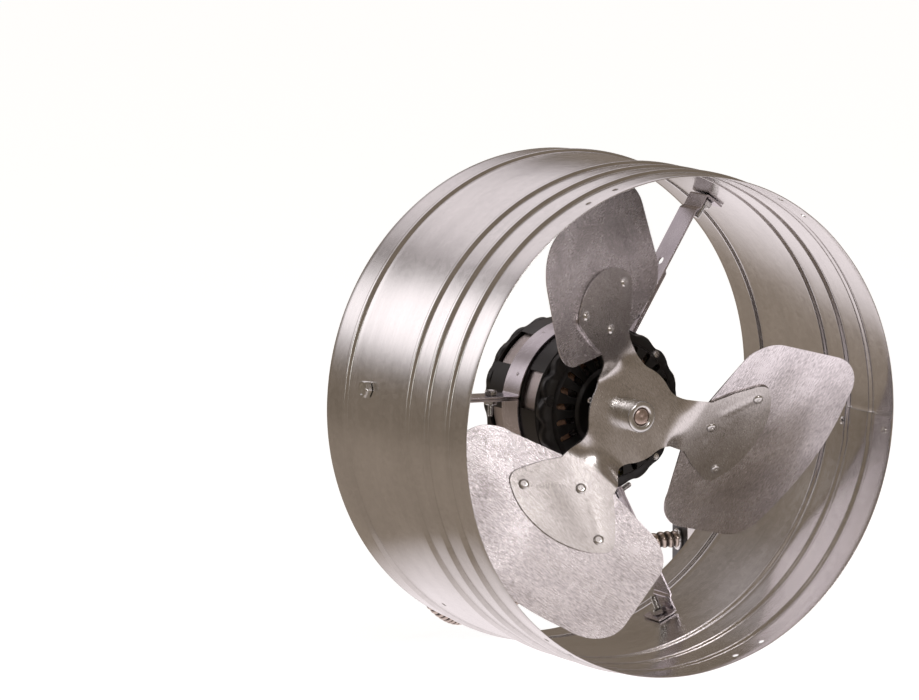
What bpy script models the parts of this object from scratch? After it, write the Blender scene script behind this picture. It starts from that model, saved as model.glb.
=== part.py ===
"""Gable-mount power attic fan with a thermostat box on a flexible conduit.

The drum lies on its side with its axis along Y and its open fan side facing -Y.
Most pieces hang on the empty "drum_axis", whose origin is on the drum's axis in the plane of
the front rim: +X is right, +Y goes into the drum and +Z is up. Angles about the axis start
at +X and grow towards +Z.
"""

import math

import bmesh
import bpy
from mathutils import Matrix, Vector

MM = 0.001
GAP = 0.3 * MM                      # clearance between pieces that touch

# Drum: thin rolled sheet with outward beads
DRUM_DEPTH = 215 * MM
DRUM_RADIUS = 196.5 * MM            # outside of the plain wall
SHEET = 0.8 * MM
BEAD_HEIGHT = 2.4 * MM
BEAD_WIDTH = 9 * MM
BEAD_DEPTHS = [29.6 * MM, 61 * MM, 90 * MM, 185.4 * MM]
DRUM_SEGMENTS = 56
SEAM_EDGE_ANGLE = -2.5              # degrees, edge of the inner layer of the lap seam
SEAM_LAP_ANGLE = 6.5
SEAM_RIVET_ANGLE = -5.7
SEAM_RIVET_DEPTHS = [9.4 * MM, 68.5 * MM, 137 * MM, 203 * MM]
RIM_HOLE_DEPTH = 11.4 * MM
RIM_HOLE_RADIUS = 2.4 * MM
RIM_HOLE_PAIRS = [57.0, 110.5, -123.0, -69.5]
RIM_HOLE_PAIR_ANGLE = 7.5
SPARE_HOLE_ANGLE = -128.7
SPARE_HOLE_DEPTH = 158 * MM

# Motor straps: three equal sheet pieces, each a third of the band with one arm and one ear
STRAP_ANGLES = [57.6, 177.6, 297.6]
STRAP_THICKNESS = 1.6 * MM
STRAP_WIDTH = 24 * MM
STRAP_DEPTH = 152 * MM              # middle of the strap behind the front rim
STRAP_OFFSET = -5.5 * MM            # the arms run beside the radius, on its clockwise side
STRAP_JOGGLE = 2.3 * MM
STRAP_JOGGLE_AT = 180.5 * MM
EAR_REACH = 125 * MM
FOOT_ANGLE = 5.1
ARM_HOLE_AT = 131 * MM
ARM_HOLE_RADIUS = 3.4 * MM
CLAMP_AT = 84 * MM
FOOT_BOLT_ANGLE = 2.6               # degrees from the arm's end to the housing bolt

# Hex fasteners
BOLT_SHANK = 3.1 * MM
BOLT_HOLE = 3.5 * MM
BOLT_AF = 12.7 * MM
BOLT_HEAD = 5.5 * MM
BOLT_TIP_RADIUS = 177 * MM
NUT_HEIGHT = 5.2 * MM
CLAMP_AF = 9.5 * MM
CLAMP_HEAD = 3.6 * MM
CLAMP_SHANK = 2.2 * MM
CLAMP_HOLE = 2.6 * MM
CLAMP_LENGTH = 17 * MM

# Motor
MOTOR_MIDDLE = 152.5 * MM
BELL_RADIUS = 64.5 * MM
BELL_FACE = 52.5 * MM               # from the motor's middle to a bell's flat face
FACE_RADIUS = 52.5 * MM
BELL_STEP = 6.5 * MM                # the shoulder with the through bolts lies this much lower
BELL_WALL = 2.4 * MM
BELL_BORE = 8.5 * MM
FACE_WINDOWS = 9
SIDE_WINDOW_ANGLE = 44
STATOR_RADIUS = 61.5 * MM
STATOR_LENGTH = 66 * MM
STATOR_BORE = 36 * MM
ROTOR_RADIUS = 35.3 * MM
WINDING_INNER = 40 * MM
WINDING_OUTER = 50 * MM
WINDING_LENGTH = 12 * MM
SHAFT_RADIUS = 6.35 * MM
SHAFT_FRONT = 61.2 * MM
SHAFT_BACK = 206 * MM
THROUGH_BOLT_CIRCLE = 57.4 * MM
THROUGH_BOLT_ANGLES = [45, 135, 225, 315]

# Fan
HUB_FRONT = 60.5 * MM
HUB_RADIUS = 12.6 * MM
HUB_BACK = 86 * MM
SPIDER_FRONT = 76.6 * MM
SPIDER_THICKNESS = 1.5 * MM
DISC_RADIUS = 39 * MM
TWIST_START = 35 * MM               # the arms twist from the flat disc onto the blades
TWIST_END = 52 * MM
ARM_ANGLES = [106.5, -13.5, 226.5]
BLADE_THICKNESS = 1.1 * MM
LAP_GAP = 0.45 * MM                 # between the spider's arms and the blades
BLADE_TIP_RADIUS = 177.8 * MM       # a 14 inch fan
BLADE_DEPTH = 75.4 * MM             # depth of the blade's front surface at the axis
BLADE_SLOPE = -0.559                # pitch: the clockwise edge lies deeper
BLADE_DISH = [-0.29, -0.75, -0.48]  # per metre, for u*u, u*v and v*v
SET_SCREW_ANGLE = -35               # degrees on the hub
RIVETS_ON_ARM = [(98 * MM, 30.6 * MM), (98 * MM, -31 * MM), (73.2 * MM, 1.3 * MM)]

# Conduit and thermostat box, in drum_axis coordinates
CONDUIT_RADIUS = 7.25 * MM
FLOOR = -(DRUM_RADIUS + BEAD_HEIGHT)
FITTING_RADIUS = 10 * MM            # connector on the motor's rear bell
FITTING_LENGTH = 14 * MM
LOCKNUT_RADIUS = 9.4 * MM           # ring that holds the conduit in the box's end wall
LOCKNUT_LENGTH = 3 * MM
STUB = 10 * MM                      # straight piece of conduit at each end
MOTOR_EXIT = Vector((-20 * MM, MOTOR_MIDDLE + BELL_FACE + GAP, -42 * MM))
BOX_SIZE = Vector((102 * MM, 38 * MM, 54 * MM))
BOX_WALL = 1.6 * MM
BOX_TURN = -13.4                    # degrees about the vertical
BOX_ENTRY = Vector((250 * MM, 396 * MM, FLOOR + 27 * MM))
COVER_THICKNESS = 1.2 * MM
DIAL_RADIUS = 15 * MM
DIAL_HEIGHT = 11 * MM
STEM_RADIUS = 3 * MM
CONDUIT_ROUTE = [                   # millimetres, hand-laid between the two ends
    (-24, 253.5, -43.5), (-36.5, 273.5, -46), (-55, 287.5, -52.5), (-75, 293.5, -64.5),
    (-92, 292, -81.5), (-103, 284, -101), (-105.5, 272.5, -121.5), (-98.5, 261, -142),
    (-84.5, 256, -161), (-67, 260, -178), (-47, 270.5, -188.5), (-27.5, 284, -191.5),
    (-10, 295.5, -190.5), (9.5, 307, -191.5), (28.5, 319, -191.5), (47.5, 331, -191.5),
    (66.5, 343, -191.5), (85.5, 355, -191.5), (105, 366.5, -191.5), (124, 378.5, -191.5),
    (143, 390.5, -191.5), (169, 402, -190.8), (191, 406.8, -185.2), (214, 405, -176.9),
]


def material(name, colour, roughness, metallic):
    made = bpy.data.materials.new(name)
    made.use_nodes = True
    shader = made.node_tree.nodes["Principled BSDF"]
    shader.inputs["Base Color"].default_value = (*colour, 1)
    shader.inputs["Roughness"].default_value = roughness
    shader.inputs["Metallic"].default_value = metallic
    return made


def empty(name, parent, location=(0, 0, 0), rotation=(0, 0, 0)):
    made = bpy.data.objects.new(name, None)
    made.empty_display_size = 20 * MM
    made.parent = parent
    made.location = location
    made.rotation_euler = rotation
    bpy.context.scene.collection.objects.link(made)
    return made


def add(name, bm, look, parent, location=(0, 0, 0), rotation=(0, 0, 0)):
    """Turn a bmesh into a named object under its parent, with outward faces."""
    bmesh.ops.recalc_face_normals(bm, faces=bm.faces)
    mesh = bpy.data.meshes.new(name)
    bm.to_mesh(mesh)
    bm.free()
    mesh.shade_smooth()
    mesh.set_sharp_from_angle(angle=math.radians(35))
    made = bpy.data.objects.new(name, mesh)
    made.data.materials.append(material(name, *look))
    made.parent = parent
    made.location = location
    made.rotation_euler = rotation
    bpy.context.scene.collection.objects.link(made)
    return made


def about_axis(angle):
    """Rotation that takes +X to the given angle about the drum's axis."""
    return (0, -math.radians(angle), 0)


def on_axis(radius, angle, depth):
    turn = math.radians(angle)
    return Vector((radius * math.cos(turn), depth, radius * math.sin(turn)))


def hexagon(angle):
    """Radius of a hexagon with unit corner radius, in the given direction."""
    side = (angle + math.pi / 6) % (math.pi / 3) - math.pi / 6
    return math.cos(math.pi / 6) / math.cos(math.pi / 6 - abs(side))


def lathe(profile, segments, closed=False, shape=None):
    """Turn (radius, y) points about Y. shape(k, angle) scales profile point k at an angle."""
    bm = bmesh.new()
    rings = []
    for k, (radius, depth) in enumerate(profile):
        if radius == 0:
            rings.append([bm.verts.new((0, depth, 0))])
            continue
        ring = []
        for step in range(segments):
            angle = math.tau * step / segments
            r = radius * (shape(k, angle) if shape else 1)
            ring.append(bm.verts.new((r * math.cos(angle), depth, r * math.sin(angle))))
        rings.append(ring)
    pairs = list(zip(rings, rings[1:]))
    if closed:
        pairs.append((rings[-1], rings[0]))
    for one, two in pairs:
        for step in range(segments):
            after = (step + 1) % segments
            corners = [one[step % len(one)], two[step % len(two)]]
            if len(two) > 1:
                corners.append(two[after])
            if len(one) > 1:
                corners.append(one[after])
            bm.faces.new(corners)
    return bm


def block(size, centre=(0, 0, 0)):
    bm = bmesh.new()
    bmesh.ops.create_cube(bm, size=1, matrix=Matrix.Translation(centre) @ Matrix.Diagonal((*size, 1)))
    return bm


def rod(bm, radius, start, end, segments=12):
    """Add a plain cylinder from start to end to bm."""
    start, end = Vector(start), Vector(end)
    turn = (end - start).to_track_quat("Z", "Y").to_matrix().to_4x4()
    bmesh.ops.create_cone(
        bm, cap_ends=True, segments=segments, radius1=radius, radius2=radius,
        depth=(end - start).length, matrix=Matrix.Translation((start + end) / 2) @ turn)


def cut(target, cutter):
    """Subtract the bmesh cutter, given in the target's own coordinates."""
    tool = add(target.name + "_cutter", cutter, ((0.8, 0.2, 0.1), 0.5, 0), target)
    tool.hide_render = True
    tool.display_type = "WIRE"
    boolean = target.modifiers.new("cut", "BOOLEAN")
    boolean.operation = "DIFFERENCE"
    boolean.object = tool


def extrude_outline(points, start, end):
    """Closed (x, z) outline extruded along Y from start to end."""
    bm = bmesh.new()
    face = bm.faces.new([bm.verts.new((x, start, z)) for x, z in points])
    raised = bmesh.ops.extrude_face_region(bm, geom=[face])["geom"]
    moved = [v for v in raised if isinstance(v, bmesh.types.BMVert)]
    bmesh.ops.translate(bm, verts=moved, vec=(0, end - start, 0))
    return bm


def arc(centre, radius, first, last, steps):
    """Points on a circle in a plane, from angle first to last in degrees."""
    angles = [math.radians(first + (last - first) * k / steps) for k in range(steps + 1)]
    return [(centre[0] + radius * math.cos(a), centre[1] + radius * math.sin(a)) for a in angles]


def ribbon(path, thickness):
    """Outline of a bent strip whose middle line is the path."""
    left, right = [], []
    for k, point in enumerate(path):
        here = Vector(point)
        before = (here - Vector(path[max(k - 1, 0)])).normalized() if k else None
        after = (Vector(path[k + 1]) - here).normalized() if k + 1 < len(path) else None
        before, after = before or after, after or before
        side = Vector((-(before + after).y, (before + after).x)).normalized()
        reach = thickness / 2 / max(side.dot(Vector((-after.y, after.x))), 0.5)
        left.append(tuple(here + side * reach))
        right.append(tuple(here - side * reach))
    return left + right[::-1]


def mirrored(end, neighbour, way):
    """The neighbour's reflection in the plane square to the way through the end."""
    return neighbour - way * 2 * (neighbour - end).dot(way)


def smooth_line(points, spacing, first_way, last_way):
    """Points at about the given spacing on a Catmull-Rom curve with set directions at its ends."""
    ends = [mirrored(points[0], points[1], first_way), *points,
            mirrored(points[-1], points[-2], last_way)]
    dense = []
    for a, b, c, d in zip(ends, ends[1:], ends[2:], ends[3:]):
        for k in range(24):
            t = k / 24
            dense.append(0.5 * (2 * b + (c - a) * t + (2 * a - 5 * b + 4 * c - d) * t * t
                                + (3 * b - a - 3 * c + d) * t ** 3))
    dense.append(points[-1])
    total = sum((b - a).length for a, b in zip(dense, dense[1:]))
    count = round(total / spacing)
    line, walked = [dense[0]], 0.0
    for a, b in zip(dense, dense[1:]):
        step = (b - a).length
        while len(line) < count and walked + step >= total * len(line) / count:
            line.append(a.lerp(b, (total * len(line) / count - walked) / step))
        walked += step
    return line + [dense[-1]]


# ---------------------------------------------------------------- drum

def bead_profile(radius):
    """(radius, depth) points along the drum's wall, from front to back."""
    points = [(radius, 0)]
    for middle in BEAD_DEPTHS:
        half = BEAD_WIDTH / 2
        points += [(radius, middle - half), (radius + BEAD_HEIGHT, middle), (radius, middle + half)]
    return points + [(radius, DRUM_DEPTH)]


def drum_shell(parent):
    outside = bead_profile(DRUM_RADIUS)
    inside = bead_profile(DRUM_RADIUS - SHEET)[::-1]
    lap_end = SEAM_EDGE_ANGLE - SEAM_LAP_ANGLE
    angles = [360 * k / DRUM_SEGMENTS for k in range(DRUM_SEGMENTS)]
    angles += [a % 360 for a in (SEAM_EDGE_ANGLE, SEAM_EDGE_ANGLE - 0.05, lap_end, lap_end + 0.05)]
    angles.sort()
    bm = bmesh.new()
    rings = []
    for angle in angles:
        lapped = lap_end + 0.01 < angle - 360 < SEAM_EDGE_ANGLE - 0.01
        lap = SHEET if lapped else 0
        turned = [on_axis(r, angle, y) for r, y in outside]
        turned += [on_axis(r - lap, angle, y) for r, y in inside]
        rings.append([bm.verts.new(point) for point in turned])
    for one, two in zip(rings, rings[1:] + rings[:1]):
        for k in range(len(one)):
            after = (k + 1) % len(one)
            bm.faces.new((one[k], one[after], two[after], two[k]))
    shell = add("housing_shell", bm, ((0.66, 0.64, 0.62), 0.3, 1), parent)
    holes = bmesh.new()
    inner, outer = DRUM_RADIUS - 4 * MM, DRUM_RADIUS + 3 * MM
    for pair in RIM_HOLE_PAIRS:
        for side in (-0.5, 0.5):
            angle = pair + side * RIM_HOLE_PAIR_ANGLE
            rod(holes, RIM_HOLE_RADIUS, on_axis(inner, angle, RIM_HOLE_DEPTH),
                on_axis(outer, angle, RIM_HOLE_DEPTH), 8)
    rod(holes, RIM_HOLE_RADIUS, on_axis(inner, SPARE_HOLE_ANGLE, SPARE_HOLE_DEPTH),
        on_axis(outer, SPARE_HOLE_ANGLE, SPARE_HOLE_DEPTH), 8)
    for angle in STRAP_ANGLES:
        rod(holes, BOLT_HOLE, on_axis(inner, angle + foot_bolt_turn(), STRAP_DEPTH),
            on_axis(outer, angle + foot_bolt_turn(), STRAP_DEPTH))
    for depth in SEAM_RIVET_DEPTHS:
        rod(holes, 2.1 * MM, on_axis(inner, SEAM_RIVET_ANGLE, depth),
            on_axis(outer, SEAM_RIVET_ANGLE, depth), 8)
    cut(shell, holes)


def rivet(shank, head, head_height, tail, tail_height, grip):
    """Rivet along Y with its shank's grip between y = 0 (head side) and y = grip."""
    profile = [
        (0, -head_height), (0.6 * head, -0.85 * head_height), (head, -GAP), (shank, -GAP),
        (shank, grip + GAP), (tail, grip + GAP), (0, grip + tail_height),
    ]
    return lathe(profile, 8)


def seam_rivets(parent):
    for k, depth in enumerate(SEAM_RIVET_DEPTHS, 1):
        holder = empty(f"seam_rivet_{k}_place", parent, (0, depth, 0), about_axis(SEAM_RIVET_ANGLE))
        bm = rivet(1.8 * MM, 3.8 * MM, 1.4 * MM, 3.1 * MM, 1.2 * MM, 2 * SHEET)
        add(f"seam_rivet_{k}", bm, ((0.75, 0.74, 0.72), 0.35, 1), holder,
            (DRUM_RADIUS, 0, 0), (0, 0, math.radians(90)))


# ---------------------------------------------------------------- straps and their fasteners

def foot_middle():
    """Radius of the middle of a strap's foot, against the inside of the drum."""
    return DRUM_RADIUS - SHEET - 2 * GAP - STRAP_THICKNESS / 2


def arm_end_angle():
    return math.degrees(math.asin((STRAP_OFFSET - STRAP_JOGGLE) / foot_middle()))


def foot_bolt_turn():
    """Degrees from a strap's own angle to its housing bolt."""
    return arm_end_angle() - FOOT_BOLT_ANGLE


def ear_offset():
    return STRAP_OFFSET - STRAP_THICKNESS - GAP


def strap_path():
    """Middle line of a strap: foot, arm, third of the band, ear at the next arm."""
    band = BELL_RADIUS + GAP + STRAP_THICKNESS / 2
    start = math.degrees(math.asin(STRAP_OFFSET / band)) + 2.2
    end = 120 + math.degrees(math.asin(ear_offset() / band)) - 2.2
    foot = arm_end_angle()
    path = arc((0, 0), foot_middle(), foot - FOOT_ANGLE, foot - 0.6, 3)
    leg = STRAP_OFFSET - STRAP_JOGGLE
    path += [(foot_middle() - 2 * MM, leg), (STRAP_JOGGLE_AT + 1.5 * MM, leg)]
    path += [(STRAP_JOGGLE_AT - 1.5 * MM, STRAP_OFFSET), (band + 2.5 * MM, STRAP_OFFSET)]
    path += arc((0, 0), band, start, end, 14)
    ear = Matrix.Rotation(math.radians(120), 2)
    path += [tuple(ear @ Vector((x, ear_offset()))) for x in (band + 2.5 * MM, EAR_REACH)]
    return path


def straps(parent):
    half = STRAP_WIDTH / 2
    for k, angle in enumerate(STRAP_ANGLES, 1):
        bm = extrude_outline(ribbon(strap_path(), STRAP_THICKNESS), -half, half)
        strap = add(f"motor_strap_{k}", bm, ((0.6, 0.58, 0.6), 0.28, 1), parent,
                    (0, STRAP_DEPTH, 0), about_axis(angle))
        holes = bmesh.new()
        rod(holes, BOLT_HOLE, on_axis(DRUM_RADIUS + MM, foot_bolt_turn(), 0),
            on_axis(BOLT_TIP_RADIUS, foot_bolt_turn(), 0))
        for where, radius in ((ARM_HOLE_AT, ARM_HOLE_RADIUS), (CLAMP_AT, CLAMP_HOLE)):
            rod(holes, radius, (where, 0, STRAP_OFFSET - 5 * MM), (where, 0, STRAP_OFFSET + 5 * MM))
        turn = Matrix.Rotation(math.radians(-120), 3, "Y")
        rod(holes, CLAMP_HOLE, turn @ Vector((CLAMP_AT, 0, ear_offset() - 5 * MM)),
            turn @ Vector((CLAMP_AT, 0, ear_offset() + 5 * MM)))
        cut(strap, holes)


def hex_bolt(across_flats, head, shank, length):
    """Bolt along Y: the head lies at y < 0 and the shank runs to y = length."""
    corner = across_flats / 2 / math.cos(math.pi / 6)
    profile = [
        (0, -head), (0.8 * corner, -head), (corner, -head + 0.18 * head), (corner, 0),
        (shank, 0), (shank, length - 0.4 * shank), (0.7 * shank, length), (0, length),
    ]
    return lathe(profile, 12, shape=lambda k, a: hexagon(a) if k in (2, 3) else 1)


def hex_nut(across_flats, height, hole):
    """Nut along Y from y = 0 to y = height."""
    corner = across_flats / 2 / math.cos(math.pi / 6)
    profile = [(hole, 0), (corner, 0), (corner, height), (hole, height)]
    return lathe(profile, 12, closed=True, shape=lambda k, a: hexagon(a) if k in (1, 2) else 1)


def fasteners(parent):
    zinc = ((0.8, 0.8, 0.78), 0.25, 1)
    foot_face = foot_middle() - STRAP_THICKNESS / 2 - GAP
    clamp_head = STRAP_OFFSET + STRAP_THICKNESS / 2 + GAP
    clamp_nut = ear_offset() - STRAP_THICKNESS / 2 - GAP
    for k, angle in enumerate(STRAP_ANGLES, 1):
        place = empty(f"housing_bolt_{k}_place", parent, (0, STRAP_DEPTH, 0),
                      about_axis(angle + foot_bolt_turn()))
        inward = (0, 0, math.radians(90))
        seat = DRUM_RADIUS + GAP
        bolt = hex_bolt(BOLT_AF, BOLT_HEAD, BOLT_SHANK, seat - BOLT_TIP_RADIUS)
        add(f"housing_bolt_{k}", bolt, zinc, place, (seat, 0, 0), inward)
        nut = hex_nut(BOLT_AF * 0.9, NUT_HEIGHT, BOLT_SHANK + GAP)
        add(f"housing_nut_{k}", nut, zinc, place, (foot_face, 0, 0), inward)
        place = empty(f"clamp_{k}_place", parent, (0, STRAP_DEPTH, 0), about_axis(angle))
        bolt = hex_bolt(CLAMP_AF, CLAMP_HEAD, CLAMP_SHANK, CLAMP_LENGTH)
        add(f"clamp_bolt_{k}", bolt, zinc, place, (CLAMP_AT, 0, clamp_nut), (math.radians(90), 0, 0))
        nut = hex_nut(CLAMP_AF, CLAMP_HEAD, CLAMP_SHANK + GAP)
        add(f"clamp_nut_{k}", nut, zinc, place, (CLAMP_AT, 0, clamp_head), (math.radians(90), 0, 0))


# ---------------------------------------------------------------- motor

def bell(name, parent, front):
    """End bell: slotted face, stepped shoulder and skirt, open towards the motor's middle."""
    face, step, outer = -BELL_FACE, -BELL_FACE + BELL_STEP, BELL_RADIUS
    inner = outer - 2.2 * MM
    profile = [
        (BELL_BORE, face - 3 * MM), (BELL_BORE + 5 * MM, face - 3 * MM), (BELL_BORE + 6 * MM, face),
        (FACE_RADIUS, face), (FACE_RADIUS + 1.3 * MM, step), (outer - 3.2 * MM, step),
        (outer, face + 10 * MM), (outer, -GAP / 2), (inner, -GAP / 2), (inner, step + BELL_WALL + 4 * MM),
        (inner - 3 * MM, step + BELL_WALL), (FACE_RADIUS - 1.1 * MM, step + BELL_WALL),
        (FACE_RADIUS - 2.1 * MM, face + BELL_WALL), (BELL_BORE, face + BELL_WALL),
    ]
    flip = (0, 0, 0) if front else (math.radians(180), 0, 0)
    made = add(name, lathe(profile, 30, closed=True), ((0.02, 0.02, 0.02), 0.45, 0),
               parent, (0, MOTOR_MIDDLE, 0), flip)
    windows = bmesh.new()
    for k in range(FACE_WINDOWS):
        angle = 360 * (k + 0.5) / FACE_WINDOWS
        rod(windows, 4 * MM, on_axis(44 * MM, angle, face - 2 * MM), on_axis(44 * MM, angle, face + 5 * MM), 6)
    for angle in THROUGH_BOLT_ANGLES:
        rod(windows, 2.6 * MM, on_axis(THROUGH_BOLT_CIRCLE, angle, face - 2 * MM),
            on_axis(THROUGH_BOLT_CIRCLE, angle, step + 8 * MM), 8)
    for k in range(6):
        angle = SIDE_WINDOW_ANGLE + 60 * k
        place = Matrix.Translation(on_axis(outer, angle, -24.5 * MM))
        turn = Matrix.Rotation(-math.radians(angle), 4, "Y")
        size = Matrix.Diagonal((14 * MM, 19 * MM, 31 * MM, 1))
        bmesh.ops.create_cube(windows, size=1, matrix=place @ turn @ size)
    cut(made, windows)


def ring(inner, outer, length, segments):
    """Plain ring along Y, its middle at the origin."""
    half = length / 2
    return lathe([(inner, -half), (outer, -half), (outer, half), (inner, half)], segments, closed=True)


def motor(parent):
    bell("motor_front_bell", parent, True)
    bell("motor_rear_bell", parent, False)
    core = add("stator_core", ring(STATOR_BORE, STATOR_RADIUS, STATOR_LENGTH, 36),
               ((0.55, 0.53, 0.52), 0.4, 1), parent, (0, MOTOR_MIDDLE, 0))
    holes = bmesh.new()
    for angle in THROUGH_BOLT_ANGLES:
        half = STATOR_LENGTH / 2 + MM
        rod(holes, 2.6 * MM, on_axis(THROUGH_BOLT_CIRCLE, angle, -half),
            on_axis(THROUGH_BOLT_CIRCLE, angle, half), 8)
    cut(core, holes)
    away = STATOR_LENGTH / 2 + GAP + WINDING_LENGTH / 2
    for name, side in (("stator_winding_front", -1), ("stator_winding_rear", 1)):
        half, inner, outer = WINDING_LENGTH / 2, WINDING_INNER, WINDING_OUTER
        profile = [(inner, -half * 0.6), (inner + 4 * MM, -half), (outer - 4 * MM, -half),
                   (outer, -half * 0.6), (outer, half), (inner, half)]
        bm = lathe(profile, 24, closed=True)
        if side > 0:
            bmesh.ops.rotate(bm, verts=bm.verts, matrix=Matrix.Rotation(math.pi, 3, "X"))
        add(name, bm, ((0.3, 0.14, 0.05), 0.5, 0), parent, (0, MOTOR_MIDDLE + side * away, 0))
    for name, side in (("front_bearing", -1), ("rear_bearing", 1)):
        bm = ring(SHAFT_RADIUS + GAP, BELL_BORE - GAP, 9 * MM, 16)
        add(name, bm, ((0.5, 0.38, 0.2), 0.35, 1), parent,
            (0, MOTOR_MIDDLE + side * (BELL_FACE - 1 * MM), 0))
    for k, angle in enumerate(THROUGH_BOLT_ANGLES, 1):
        spot = on_axis(THROUGH_BOLT_CIRCLE, angle, MOTOR_MIDDLE)
        bm = lathe(through_bolt_profile(), 8)
        add(f"motor_through_bolt_{k}", bm, ((0.75, 0.74, 0.7), 0.3, 1), parent, spot)


def through_bolt_profile():
    """Long screw between the bells, with a head in front and a peened end at the back."""
    seat = BELL_FACE - BELL_STEP + GAP
    shank, head = 2.2 * MM, 3.4 * MM
    return [(0, -seat - 3 * MM), (head, -seat - 1.8 * MM), (head, -seat), (shank, -seat),
            (shank, seat), (head, seat), (head, seat + 1.8 * MM), (0, seat + 3 * MM)]


# ---------------------------------------------------------------- fan

def blade_depth(u, v):
    """Depth of a blade's front surface at u along its arm and v counter-clockwise of it."""
    uu, uv, vv = BLADE_DISH
    return BLADE_DEPTH + 0.014 * u + BLADE_SLOPE * v + uu * u * u + uv * u * v + vv * v * v


def spider_depth(x, z):
    """Depth of the spider's front surface: flat disc, arms that twist onto the blades."""
    best = SPIDER_FRONT
    for angle in ARM_ANGLES:
        turn = math.radians(angle)
        u = x * math.cos(turn) + z * math.sin(turn)
        v = z * math.cos(turn) - x * math.sin(turn)
        if u > abs(v) * math.tan(math.radians(30)):
            share = min(max((u - TWIST_START) / (TWIST_END - TWIST_START), 0), 1)
            share = share * share * (3 - 2 * share)
            on_blade = spider_depth_on_arm(u, v)
            best = SPIDER_FRONT + (on_blade - SPIDER_FRONT) * share
    return best


def blade_outline():
    """Paddle shape in (u, v): two inner corners, two outer corners and the tip's arc."""
    tip = BLADE_TIP_RADIUS / MM
    points = [(60, -21)] + arc((98, -55), 28, 185, 270, 6) + arc((140, -55), 28, 270, 328, 5)
    points += arc((0, 0), tip, -19.5, 14, 8) + arc((139.5, 43.5), 32.5, 12, 90, 6)
    points += arc((92, 52.5), 24.5, 90, 172, 6) + [(60, 21)]
    return [(x * MM, y * MM) for x, y in points]


def arm_outline():
    """One third of the spider's outline in (u, v), from clockwise to counter-clockwise."""
    fillet, neck = 22, 19.5
    centre = (math.sqrt((39 + fillet) ** 2 - (neck + fillet) ** 2), neck + fillet)
    meet = math.degrees(math.atan2(centre[1], centre[0]))
    half = arc((61, 0), 58, 0, 33, 3) + arc((96.5, 31), 10.5, 40, 120, 3) + [(62, 21)]
    half += arc(centre, fillet, 270, 180 + meet, 4) + arc((0, 0), DISC_RADIUS / MM, meet, 60, 2)[1:]
    lower = [(x, -y) for x, y in half[:0:-1]]
    return [(x * MM, y * MM) for x, y in lower + half[:-1]]


def formed_sheet(outline, depth, thickness, grid):
    """Flat (x, z) outline cut into cells, pressed to depth(x, z) and given its thickness."""
    bm = bmesh.new()
    bm.faces.new([bm.verts.new((x, 0, z)) for x, z in outline])
    low = [min(p[k] for p in outline) for k in (0, 1)]
    high = [max(p[k] for p in outline) for k in (0, 1)]
    for axis, normal in ((0, (1, 0, 0)), (1, (0, 0, 1))):
        count = max(1, round((high[axis] - low[axis]) / grid))
        for k in range(1, count):
            where = low[axis] + (high[axis] - low[axis]) * k / count + 0.00037
            geometry = [*bm.verts, *bm.edges, *bm.faces]
            bmesh.ops.bisect_plane(bm, geom=geometry, dist=1e-6,
                                   plane_co=Vector(normal) * where, plane_no=normal)
    bmesh.ops.triangulate(bm, faces=bm.faces)
    for vertex in bm.verts:
        vertex.co.y = depth(vertex.co.x, vertex.co.z)
    raised = bmesh.ops.extrude_face_region(bm, geom=bm.faces[:])["geom"]
    moved = [v for v in raised if isinstance(v, bmesh.types.BMVert)]
    bmesh.ops.translate(bm, verts=moved, vec=(0, thickness, 0))
    return bm


def blade_normal(u, v):
    """Unit normal of the blade's surface at (u, v), pointing into the drum."""
    step = MM
    along = (blade_depth(u + step, v) - blade_depth(u - step, v)) / (2 * step)
    across = (blade_depth(u, v + step) - blade_depth(u, v - step)) / (2 * step)
    return Vector((-along, 1, -across)).normalized()


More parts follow.
